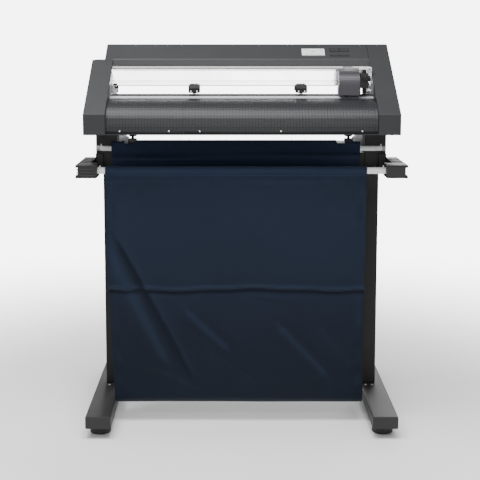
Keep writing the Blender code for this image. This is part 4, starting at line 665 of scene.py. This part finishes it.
def push_roller_trim(side):
    """Cheeks, ridged thumb tab, axle ends and screws on a push-roller arm."""
    arm = f"push_arm_{side}"
    left, right = span(arm, 0)
    front = span(arm, 1)[0]
    cheeks = [rounded_bar("X", (x, x + 0.0014), (front + 0.004, front + 0.040),
                          (HEAD_TOP - 0.0215, HEAD_TOP - 0.003), 0.0005)
              for x in (left - 0.0015, right + 0.0001)]
    tabs = [rounded_bar("X", (left + 0.002, right - 0.002),
                        (front + 0.012 + row * TAB_PITCH, front + 0.0145 + row * TAB_PITCH),
                        (HEAD_TOP - 0.0004, HEAD_TOP + 0.0016), 0.0006)
            for row in range(TAB_RIDGES)]
    brow = rounded_bar("X", (left - 0.001, right + 0.001), (front - 0.0008, front + 0.006),
                       (HEAD_TOP - 0.0125, HEAD_TOP - 0.009))
    add_solids(f"push_arm_trim_{side}", cheeks + tabs + [brow], BLACK, arm)
    ends = [(x, x + PIN_LENGTH) for x in (left - 0.0026, right + 0.0015)]
    pins = [turned_part("X", axle(f"push_roller_{side}"),
                        [(start, POLE), (start, PIN_RADIUS), (end, PIN_RADIUS), (end, POLE)], 18)
            for start, end in ends]
    pins += [screw_head("Y", ((left + right) / 2 + x, HEAD_TOP - 0.0175), front - SINK, -1, 0.0021)
             for x in (-0.0085, 0.0085)]
    add_solids(f"push_arm_pins_{side}", pins, GROUND, arm)


def carriage_trim():
    """What shows beside the hood: plate screws, the guide block and its hub, and the hood's edge strip."""
    right = span("carriage_plate", 0)[1]
    face = span("carriage_plate", 1)[0]
    low = span("carriage_plate", 2)[0]
    hood_left, hood_right = span("carriage_cover", 0)
    hood_low = span("carriage_cover", 2)[0]
    places = ((hood_right + 0.0035, low + 0.026), (right - 0.004, low + 0.026), (right - 0.004, low + 0.010))
    screws = [screw_head("Y", place, face + SINK, -1, 0.0024) for place in places]
    add_solids("carriage_screws", screws, GROUND, "carriage")
    block = rounded_bar("Y", (face - 0.012, face - 0.0003), (right - 0.0042, right + 0.0040),
                        (low + 0.0005, low + 0.0125), 0.001)
    add_solids("carriage_guide_block", [block], DARK, "carriage")
    profile = [(face - 0.0170, POLE), (face - 0.0170, 0.0040), (face - 0.0160, 0.0048),
               (face - 0.0122, 0.0048), (face - 0.0122, POLE)]
    hub = turned_part("Y", (right, low + 0.006), profile, 24, 12, 0.05)
    add_solids("carriage_guide_hub", [hub], BLACK, "carriage")
    strip = rounded_bar("X", (hood_left - 0.0014, hood_left - 0.0002), (face - 0.040, face - 0.004),
                        (hood_low + 0.004, hood_low + 0.030), 0.0005)
    add_solids("carriage_edge_strip", [strip], ZINC_PLATE, "carriage")


def tool_bracket():
    """The bright bracket behind the tool: an upper plate with a leg down its right side."""
    left = span("carriage_cover", 0)[1] + 0.0010
    right = span("side_frame_right", 0)[0] - 0.0015
    back = span("tool_holder", 1)[1] + 0.0022
    top = span("carriage_plate", 2)[1] - 0.001
    sheet = (back, back + BRACKET_SHEET)
    leg = (right - BRACKET_LEG, right)
    plates = [rounded_bar("Y", sheet, (left, right), (top - 0.0165, top), 0.0006),
              rounded_bar("Y", sheet, leg, (top - 0.0330, top - 0.0160), 0.0006),
              rounded_bar("Z", (top - 0.0012, top), leg, (back + 0.001, back + 0.014), 0.0005)]
    add_solids("tool_bracket", plates, ZINC_PLATE, "carriage")
    heads = [screw_head("Y", (right - x, top - z), back + SINK, -1, 0.0022)
             for x, z in ((0.0065, 0.0055), (0.0065, 0.0250))]
    add_solids("tool_bracket_screws", heads, BLACK, "carriage")


def end_roller():
    """The bright fixed roller stub in the right end of the media slot."""
    right = span("side_frame_right", 0)[0]
    profile = [(right - 0.0155, POLE), (right - 0.0155, 0.0045), (right - 0.0145, 0.0055),
               (right - 0.0004, 0.0055), (right - 0.0004, POLE)]
    stub = turned_part("X", axle("push_roller_right"), profile, 28)
    add_solids("end_roller_stub", [stub], GROUND, "root")


def key_marks():
    """A small raised pointer on each key: a three-sided ring stacked out of the key's face.

    Corner k is at heading + 120 k degrees, and (up, out) turn by the panel's slope into (y, z).
    """
    for number, (heading, size) in enumerate(zip(MARK_HEADINGS, MARK_SIZES), 1):
        low, high = (np.array(corner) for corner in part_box(f"panel_key_{number}"))
        middle = (low + high) / 2
        angle = np.radians(heading + np.array([0, 120, 240]))
        across, up = size * np.cos(angle), size * np.sin(angle)
        out = np.array([KEY_FACE - MARK_SINK, KEY_FACE + MARK_RISE])[:, None]
        points = np.stack([np.broadcast_to(middle[0] + across, (2, 3)),
                           middle[1] + up * math.cos(PANEL_SLOPE) - out * math.sin(PANEL_SLOPE),
                           middle[2] + up * math.sin(PANEL_SLOPE) + out * math.cos(PANEL_SLOPE)], -1)
        mark = (points.reshape(-1, 3), grid_faces(2, 3, wrap_columns=True), [[0, 1, 2], [3, 4, 5]])
        add_solids(f"key_mark_{number}", [mark], PALE, f"key_{number}")


def cover_trim():
    """Screws and cooling louvres on the rear walls of the covers."""
    back = span("top_cover", 1)[1]
    low = span("top_cover", 2)[0]
    left, right = span("side_frame_left", 0)[0], span("side_frame_right", 0)[1]
    screws = [screw_head("Y", (x, z), back - SINK, 1, 0.0032)
              for x in np.linspace(left + 0.04, right - 0.04, 5) for z in (low + 0.012, low + 0.075)]
    screws += [screw_head("Y", (side * SIDE_SCREW_X, z), back - SINK, 1, 0.0032)
               for side in (-1, 1) for z in (SIDE_SCREW_LOW, SIDE_SCREW_HIGH[side])]
    add_solids("rear_screws", screws, BLACK, "root")
    louvres = [rounded_bar("X", (x, x + LOUVRE_LENGTH), (back - 0.0006, back + 0.0012),
                           (z, z + 0.0026), 0.0008)
               for x in LOUVRE_X for z in np.arange(low + 0.022, low + 0.064, 0.006)]
    add_solids("rear_louvres", louvres, COVER, "root")


# ---- the stand
POST_MIDDLE = 0.3900            # a post head's middle, out from the cutter's own
BRACKET_SPAN = (-0.112, -0.036)
FOOT_SCREW_X = (0.372, 0.391)
FOOT_SCREW_Y = (-0.052, 0.044)
TUBE_CLIP = (0.3885, 0.3915)
COLLAR_RADIUS = 0.0215
KNOB_RADIUS = 0.0110
KNOB_NECK = 0.0040
ARM_INNER = 0.3975
ARM_HALF_HEIGHT = 0.0175
HUB_RADIUS = 0.018
ARM_RIDGES = (0.004, 0.0125, 0.021)   # up the left arm's front
SLATS = 5
SLAT_PITCH = 0.019


def outward(side, *places):
    """Places out from the cutter's middle, on its left (-1) or right (1)."""
    return tuple(side * place for place in places)


def outward_profile(side, *rings):
    """A turned profile whose places run out from the cutter's middle."""
    return [(side * place, radius) for place, radius in rings]


def stand_brackets(side, name):
    """The bracket under the body and the gusset under the cross beam."""
    under = span("base_pan", 2)[0]
    bracket = rounded_bar("Y", BRACKET_SPAN, outward(side, 0.353, POST_MIDDLE - 0.0052),
                          (under - 0.0235, under - 0.0052), 0.0015)
    add_solids(f"stand_bracket_{name}", [bracket], GREY_COAT, "root")
    beam_low = span("cross_beam", 2)[0]
    gusset = rounded_bar("Y", (-0.0335, -0.0295), outward(side, 0.341, 0.3596),
                         (beam_low - 0.030, beam_low - 0.0004), 0.001)
    add_solids(f"beam_gusset_{name}", [gusset], BLACK_COAT, "root")


def bar_ends(side, name):
    """The rear bar's end cap, and the white clips on the bar and on the front tube."""
    bar_y, bar_z = axle("basket_rear_bar")
    radius = half_height("basket_rear_bar")
    end = span("basket_rear_bar", 0)[1]
    rings = outward_profile(side, (end - 0.009, radius - 0.0006), (end - 0.009, radius + 0.0005),
                            (end + 0.0005, radius + 0.0005), (end + 0.0012, radius - 0.001),
                            (end + 0.0012, POLE))
    add_solids(f"rear_bar_cap_{name}", [turned_part("X", (bar_y, bar_z), rings, 28)], PALE, "root")
    clip = rounded_bar("X", outward(side, end - 0.0135, end - 0.0105), (bar_y - 0.003, bar_y + 0.003),
                       (bar_z + radius - 0.001, bar_z + radius + 0.0055), 0.001)
    add_solids(f"rear_bar_clip_{name}", [clip], WHITE, "root")
    tube_y, tube_z = axle("basket_front_tube")
    radius = half_height("basket_front_tube")
    tab = rounded_bar("X", outward(side, *TUBE_CLIP), (tube_y - 0.003, tube_y + 0.003),
                      (tube_z + radius - 0.001, tube_z + radius + 0.005), 0.001)
    add_solids(f"front_tube_clip_{name}", [tab], WHITE, "basket_frame")


def foot_screws(side, name):
    """Four domed screws where the post meets its foot."""
    foot_top = span(f"foot_{name}", 2)[1]
    screws = [screw_head("Z", (side * x, y), foot_top - SINK, 1, 0.0045)
              for x in FOOT_SCREW_X for y in FOOT_SCREW_Y]
    add_solids(f"foot_screws_{name}", screws, GROUND, "root")


def stopper_lock(side, name):
    """The roll stopper's collar around the shaft, and the fluted knob that locks it."""
    inner = min(map(abs, span(f"roll_stopper_{name}", 0)))
    axis_y, axis_z = axle("stock_shaft")
    bore = half_height("stock_shaft") + 0.0003
    rings = outward_profile(side, (inner - 0.0245, bore), (inner - 0.0245, COLLAR_RADIUS - 0.001),
                            (inner - 0.0235, COLLAR_RADIUS), (inner - 0.0015, COLLAR_RADIUS),
                            (inner - 0.0005, COLLAR_RADIUS - 0.001), (inner - 0.0005, bore))
    add_solids(f"stopper_collar_{name}", [hollow(turned_part("X", (axis_y, axis_z), rings, 36))], DARK,
               "stock_roller")
    seat = axis_z + COLLAR_RADIUS - 0.0003
    rings = [(seat, KNOB_NECK), (seat + 0.006, KNOB_NECK), (seat + 0.006, KNOB_RADIUS - 0.0015),
             (seat + 0.0075, KNOB_RADIUS), (seat + 0.0205, KNOB_RADIUS),
             (seat + 0.0220, KNOB_RADIUS - 0.0015), (seat + 0.0220, POLE)]
    knob = turned_part("Z", (side * (inner - 0.0125), axis_y), rings, 40, 10, 0.08)
    add_solids(f"stopper_knob_{name}", [knob], BLACK, "stock_roller")


def arm_trim(side, name):
    """Lips and slats on a basket arm, ridges across the left one's front, and the fluted hub cap."""
    arm = f"basket_arm_{name}"
    outer = max(map(abs, span(arm, 0)))
    front, rear = span(arm, 1)
    low = axle("basket_front_tube")[1] - ARM_HALF_HEIGHT
    high = low + 2 * ARM_HALF_HEIGHT
    ribs = [rounded_bar("X", outward(side, ARM_INNER + 0.002, outer - 0.003),
                        (front - 0.0018, front + 0.0008), (low + up, low + up + 0.0042), 0.0009)
            for up in (ARM_RIDGES if name == "left" else ())]
    ribs += [rounded_bar("X", outward(side, ARM_INNER, outer + 0.0004), (front - 0.0022, front + 0.066),
                         (z, z + 0.0030), 0.0010)
             for z in (low - 0.0006, high - 0.0026)]
    ribs += [rounded_bar("Y", (front + 0.078 + row * SLAT_PITCH, front + 0.090 + row * SLAT_PITCH),
                         outward(side, outer - 0.030, outer - 0.003), (high - 0.001, high + 0.0018), 0.0008)
             for row in range(SLATS)]
    add_solids(f"arm_ribs_{name}", ribs, ARM_PLASTIC, "basket_frame")
    rings = outward_profile(side, (outer - 0.0005, 0.0155), (outer + 0.0022, 0.0155),
                            (outer + 0.0030, 0.0140), (outer + 0.0030, 0.0085),
                            (outer + 0.0008, 0.0080), (outer + 0.0008, POLE))
    cap = turned_part("X", (rear - HUB_RADIUS, (low + high) / 2), rings, 72, 18, 0.03)
    add_solids(f"arm_hub_cap_{name}", [cap], BLACK, "basket_frame")


# ---- the basket
CLOTH_COLOUR = (0.0092, 0.0150, 0.0300)
CLOTH_ACROSS = 165
CLOTH_ALONG = 290
REAR_ROWS_SHARE = 0.27          # of the rows, on the rear half, where the folds are few
CLOTH_THICKNESS = 0.0012
CLOTH_INSET = 0.001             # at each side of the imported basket's width
TUBE_GAP = 0.0019
BAR_GAP = 0.0026
REAR_LEAN = 0.055               # the rear panel's foot stands this far in front of its bar
FRONT_LEAN = 0.022              # and the front panel's foot this far behind its tube
CLOTH_SAG = 0.0160
FOOT_HEIGHT = 0.030             # of the half ellipse that the cloth hangs in
FOOT_STEPS = 30
HEM_STEPS = 18
HEM_TURN = 0.030
CLOTH_NARROWING = 0.016         # the left side is drawn in this far at the foot
DRAWN_FROM = 0.70
DRAWN_DEPTH = 0.60
DRAWN_HALF = 0.37
FLAP_NOTCH_X = (-0.322, 0.292)
FLAP_NOTCH_HALF = 0.015
FLAP_NOTCH_DEPTH = 0.011
FLAP_NOTCH_EDGE = 0.002
FLAP_HEIGHT = 0.016
FLAP_MIDDLE = -0.015
FLAP_HALF = 0.325               # past this the flap's top falls a little
FLAP_END_FALL = 0.0045
FLAP_END_EDGE = 0.004
FOOT_CALM = 0.12                # lengths over which the folds rise, past flat stretches
HEM_FLAT, HEM_CALM = 0.035, 0.03
FLAP_FLAT, FLAP_CALM = 0.025, 0.02
CREASE_FADE = 0.2               # of a crease's length, at each end
FRONT_CREASES = (               # start (x, z), end (x, z), width, height
    ((-0.372, 0.575), (-0.130, 0.105), 0.013, -0.0085),
    ((-0.385, 0.520), (-0.190, 0.130), 0.034, 0.0080),
    ((-0.175, 0.350), (-0.015, 0.200), 0.018, 0.0050),
    ((0.080, 0.315), (0.270, 0.115), 0.022, 0.0055),
    ((0.030, 0.365), (0.160, 0.345), 0.012, -0.0020),
    ((-0.300, 0.185), (-0.080, 0.080), 0.026, 0.0030),
    ((0.200, 0.300), (0.330, 0.150), 0.030, 0.0030),
    ((0.230, 0.640), (0.335, 0.560), 0.030, 0.0022),
    ((-0.120, 0.230), (0.060, 0.110), 0.024, 0.0024),
)
PACKING_CREASE = 0.397          # its height
SIDE_PUCKERS = ((0.330, 0.0022), (-0.354, 0.0018))   # x, height
PUCKER_WIDTH = 0.012
FOLD_INWARD = -0.008
FOLD_OUTWARD = 0.010
RELIEF_REACH = 9                # rows and columns
RELIEF_DEPTH = 0.0030           # the height of a fold that takes the full painted shade in a hollow, the full painted highlight on a ridge


def cloth_section():
    """The cloth's line (y, z) from the rear flap down, under, up the front and over the front tube.

    Straight down the rear, half an ellipse under, straight up the front, half a circle over the
    tube and a short turned hem. Its rows are evenly spaced on each half, closer on the front one.
    """
    low, high = (np.array(corner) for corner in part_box("basket_fabric"))
    tube_low, tube_high = (np.array(corner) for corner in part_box("basket_front_tube"))
    tube = (tube_low + tube_high)[1:] / 2
    over = (tube_high - tube_low)[1] / 2 + TUBE_GAP
    rear_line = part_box("basket_rear_bar")[0][1] - BAR_GAP
    beam_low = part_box("cross_beam")[0][2]
    rear_foot = rear_line - REAR_LEAN
    front_foot = tube[0] - over + FRONT_LEAN
    fold = np.linspace(0, -math.pi, FOOT_STEPS)
    middle = ((rear_foot + front_foot) / 2, low[2] - CLOTH_SAG + FOOT_HEIGHT)
    under = np.stack([middle[0] + (rear_foot - front_foot) / 2 * np.cos(fold),
                      middle[1] + FOOT_HEIGHT * np.sin(fold)], -1)
    turn = np.linspace(math.pi, 0, HEM_STEPS)
    hem = np.stack([tube[0] + over * np.cos(turn), tube[1] + over * np.sin(turn)], -1)
    start = np.array([[rear_line, high[2]], [rear_line, beam_low]])
    end = np.array([[tube[0] + over, tube[1] - HEM_TURN]])
    path = np.concatenate([start, under, hem, end])
    length = np.concatenate([[0], np.cumsum(np.linalg.norm(np.diff(path, axis=0), axis=1))])
    half = length[len(start) + FOOT_STEPS // 2]
    at = np.interp(np.linspace(0, 1, CLOTH_ALONG), (0, REAR_ROWS_SHARE, 1), (0, half, length[-1]))
    return np.stack([np.interp(at, length, path[:, i]) for i in (0, 1)], -1), at


def eased(distance, length):
    """distance / length, held between 0 and 1."""
    return np.clip(distance / length, 0, 1)


def crease(x, z, start, end, width, height):
    """height * exp(-(d/width)^2) along the line start to end, fading at its first and last fifth.

    d is the distance from the line, counted twice on its upper side, which makes that side sharper.
    """
    run = np.subtract(end, start)
    length = math.hypot(*run)
    run = run / length
    forward = (x - start[0]) * run[0] + (z - start[1]) * run[1]
    side = (x - start[0]) * -run[1] + (z - start[1]) * run[0]
    share = forward / length
    fade = eased(share, CREASE_FADE) * eased(1 - share, CREASE_FADE)
    stretch = np.where(side > 0, 2.0, 1.0)
    return height * fade * np.exp(-(side * stretch / width) ** 2)


def hump(z, line, width):
    """exp(-(d/width)^2), where d is the height above the line."""
    return np.exp(-((z - line) / width) ** 2)


def front_folds(x, z):
    """How far the front panel stands proud: soft waves, the packing crease, diagonals and puckers.

    The packing crease is a hump over a hollow, and its line wanders with two sines of x. A
    shallow hollow and a hump follow the hem under the tube. The puckers are sines of z.
    """
    line = PACKING_CREASE + 0.0030 * np.sin(x * 14 + 1.0) + 0.0012 * np.sin(x * 43)
    folds = 0.0042 * hump(z, line, 0.0055) - 0.0040 * hump(z, line - 0.011, 0.007)
    folds += 0.0030 * np.sin(x * 9 + z * 5) * np.sin(z * 7 + 0.6)
    folds += 0.0014 * np.sin(x * 26 - z * 11 + 0.4) * np.sin(z * 13 + x * 5)
    for start, end, width, height in FRONT_CREASES:
        folds += crease(x, z, start, end, width, height)
    for edge, height in SIDE_PUCKERS:
        folds += height * hump(x, edge, PUCKER_WIDTH) * np.sin(z * 62 + 9 * np.sin(z * 7))
    folds -= 0.0022 * hump(z, 0.722 + 0.002 * np.sin(x * 8), 0.008)
    folds += 0.0016 * hump(z, 0.700 - 0.004 * np.sin(x * 11), 0.010) * (1 + 0.5 * np.sin(x * 15))
    return folds


def rear_folds(x, z):
    """The rear panel's level folds between the bars: two humps, a hollow and a long wave."""
    folds = 0.0034 * hump(z, 0.752 + 0.003 * np.sin(x * 6), 0.008)
    folds -= 0.0030 * hump(z, 0.735 + 0.004 * np.sin(x * 5 + 1), 0.009)
    folds += 0.0030 * hump(z, 0.716 - 0.003 * np.sin(x * 8), 0.008)
    return folds + 0.0016 * np.sin(x * 12 + z * 6)


def softened(heights, reach):
    """The grid averaged both ways under a rounded hump of that reach, its edges held."""
    weights = np.hanning(2 * reach + 3)[1:-1]
    weights = weights / weights.sum()
    for axis in (0, 1):
        side = [(reach, reach) if axis == this else (0, 0) for this in (0, 1)]
        held = np.pad(heights, side, mode="edge")
        heights = np.lib.stride_tricks.sliding_window_view(held, 2 * reach + 1, axis=axis) @ weights
    return heights


def flap_fall(x, at):
    """How far the flap's top edge falls: two notches, and both ends a little; none past its height."""
    fall = 0 * x
    for notch in FLAP_NOTCH_X:
        inside = FLAP_NOTCH_HALF + FLAP_NOTCH_EDGE - abs(x - notch)
        fall = fall + FLAP_NOTCH_DEPTH * eased(inside, FLAP_NOTCH_EDGE)
    fall = fall + FLAP_END_FALL * eased(abs(x - FLAP_MIDDLE) - FLAP_HALF, FLAP_END_EDGE)
    return fall * (1 - eased(at, FLAP_HEIGHT))[:, None]


def basket_cloth():
    """The cloth: its section carried across, and moved out from itself by the folds.

    Point(s, x) = section(s) + out(s) * folds(x, z), with the flap's edge let down, and its left
    side drawn in by depth^2 * (distance from the middle)^3. The folds fade near the flap, the
    foot and the hem, so that the cloth lies flat on its bar and its tube.
    """
    section, at = cloth_section()
    low, high = (np.array(corner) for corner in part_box("basket_fabric"))
    tangent = np.gradient(section, axis=0)
    tangent /= np.linalg.norm(tangent, axis=1)[:, None]
    out_y, out_z = -tangent[:, 1][:, None], tangent[:, 0][:, None]
    x = np.linspace(low[0] + CLOTH_INSET, high[0] - CLOTH_INSET, CLOTH_ACROSS)[None, :]
    y, z = section[:, 0][:, None], section[:, 1][:, None]
    foot = at[section[:, 1].argmin()]
    on_front = eased(at - foot, FOOT_CALM) * eased(at[-1] - HEM_TURN - HEM_FLAT - at, HEM_CALM)
    on_rear = eased(foot - at, FOOT_CALM) * eased(at - FLAP_FLAT, FLAP_CALM)
    folds = np.clip(front_folds(x, z) * on_front[:, None], FOLD_INWARD, FOLD_OUTWARD)
    folds = folds - rear_folds(x, z) * on_rear[:, None]
    drawn = CLOTH_NARROWING * eased(DRAWN_FROM - z, DRAWN_DEPTH) ** 2 * eased(-x, DRAWN_HALF) ** 3
    points = np.stack([x + drawn, y + out_y * folds, z + out_z * folds - flap_fall(x, at)], -1)
    chart = np.stack(np.broadcast_arrays(x, at[:, None]), -1)
    cloth = make_piece("basket_cloth", points, grid_faces(CLOTH_ALONG, CLOTH_ACROSS), CLOTH, None,
                       chart)
    # the folds' relief, from which the cloth's finish paints shade in the hollows and highlight on the
    # ridges
    relief = np.clip((folds - softened(folds, RELIEF_REACH)) / RELIEF_DEPTH, -1, 1)
    marks = cloth.data.attributes.new(RELIEF, "FLOAT", "POINT")
    marks.data.foreach_set("value", relief.astype(np.float32).ravel())
    wall = cloth.modifiers.new("thickness", "SOLIDIFY")
    wall.thickness = CLOTH_THICKNESS
    wall.offset = 0.0
    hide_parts("basket_fabric")
    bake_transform(cloth)


CLOTH_LENGTH = cloth_section()[1][-1]
# the seams, by their place along the cloth: two on the flap, one under the tube, one at the edge
HEM_LINES = (0.022, 0.027, CLOTH_LENGTH - HEM_TURN - 0.048, CLOTH_LENGTH - 0.006)
CLOTH = woven_cloth("navy_cloth", CLOTH_COLOUR)


def paper_floor():
    """A pale plain floor, square, that fades out with its distance from the cutter."""
    finish = Finish("floor_paper", FLOOR_COLOUR, 0.9)
    x, y, _ = finish.axes()
    far = (x * x + y * y).math("SQRT")
    finish.feed(finish.shader.inputs["Alpha"], 1 - far.rises(*FLOOR_FADE))
    corner = FLOOR_SIZE / 2
    mesh = bpy.data.meshes.new("floor")
    mesh.from_pydata([(-corner, -corner, 0), (corner, -corner, 0), (corner, corner, 0),
                      (-corner, corner, 0)], [], [(0, 1, 2, 3)])
    mesh.materials.append(finish.paint(roughness=finish.noise(20) * 0.1 + 0.85))
    floor = bpy.data.objects.new("floor", mesh)
    bpy.context.collection.objects.link(floor)


place_camera()
light_studio()
dress_nodes()
basket_cloth()
rail_trim()
rail_end_clip()
platen_trim()
carriage_trim()
tool_bracket()
end_roller()
key_marks()
cover_trim()
for hand, name in ((-1, "left"), (1, "right")):
    push_roller_trim(name)
    stand_brackets(hand, name)
    bar_ends(hand, name)
    foot_screws(hand, name)
    stopper_lock(hand, name)
    arm_trim(hand, name)
paper_floor()
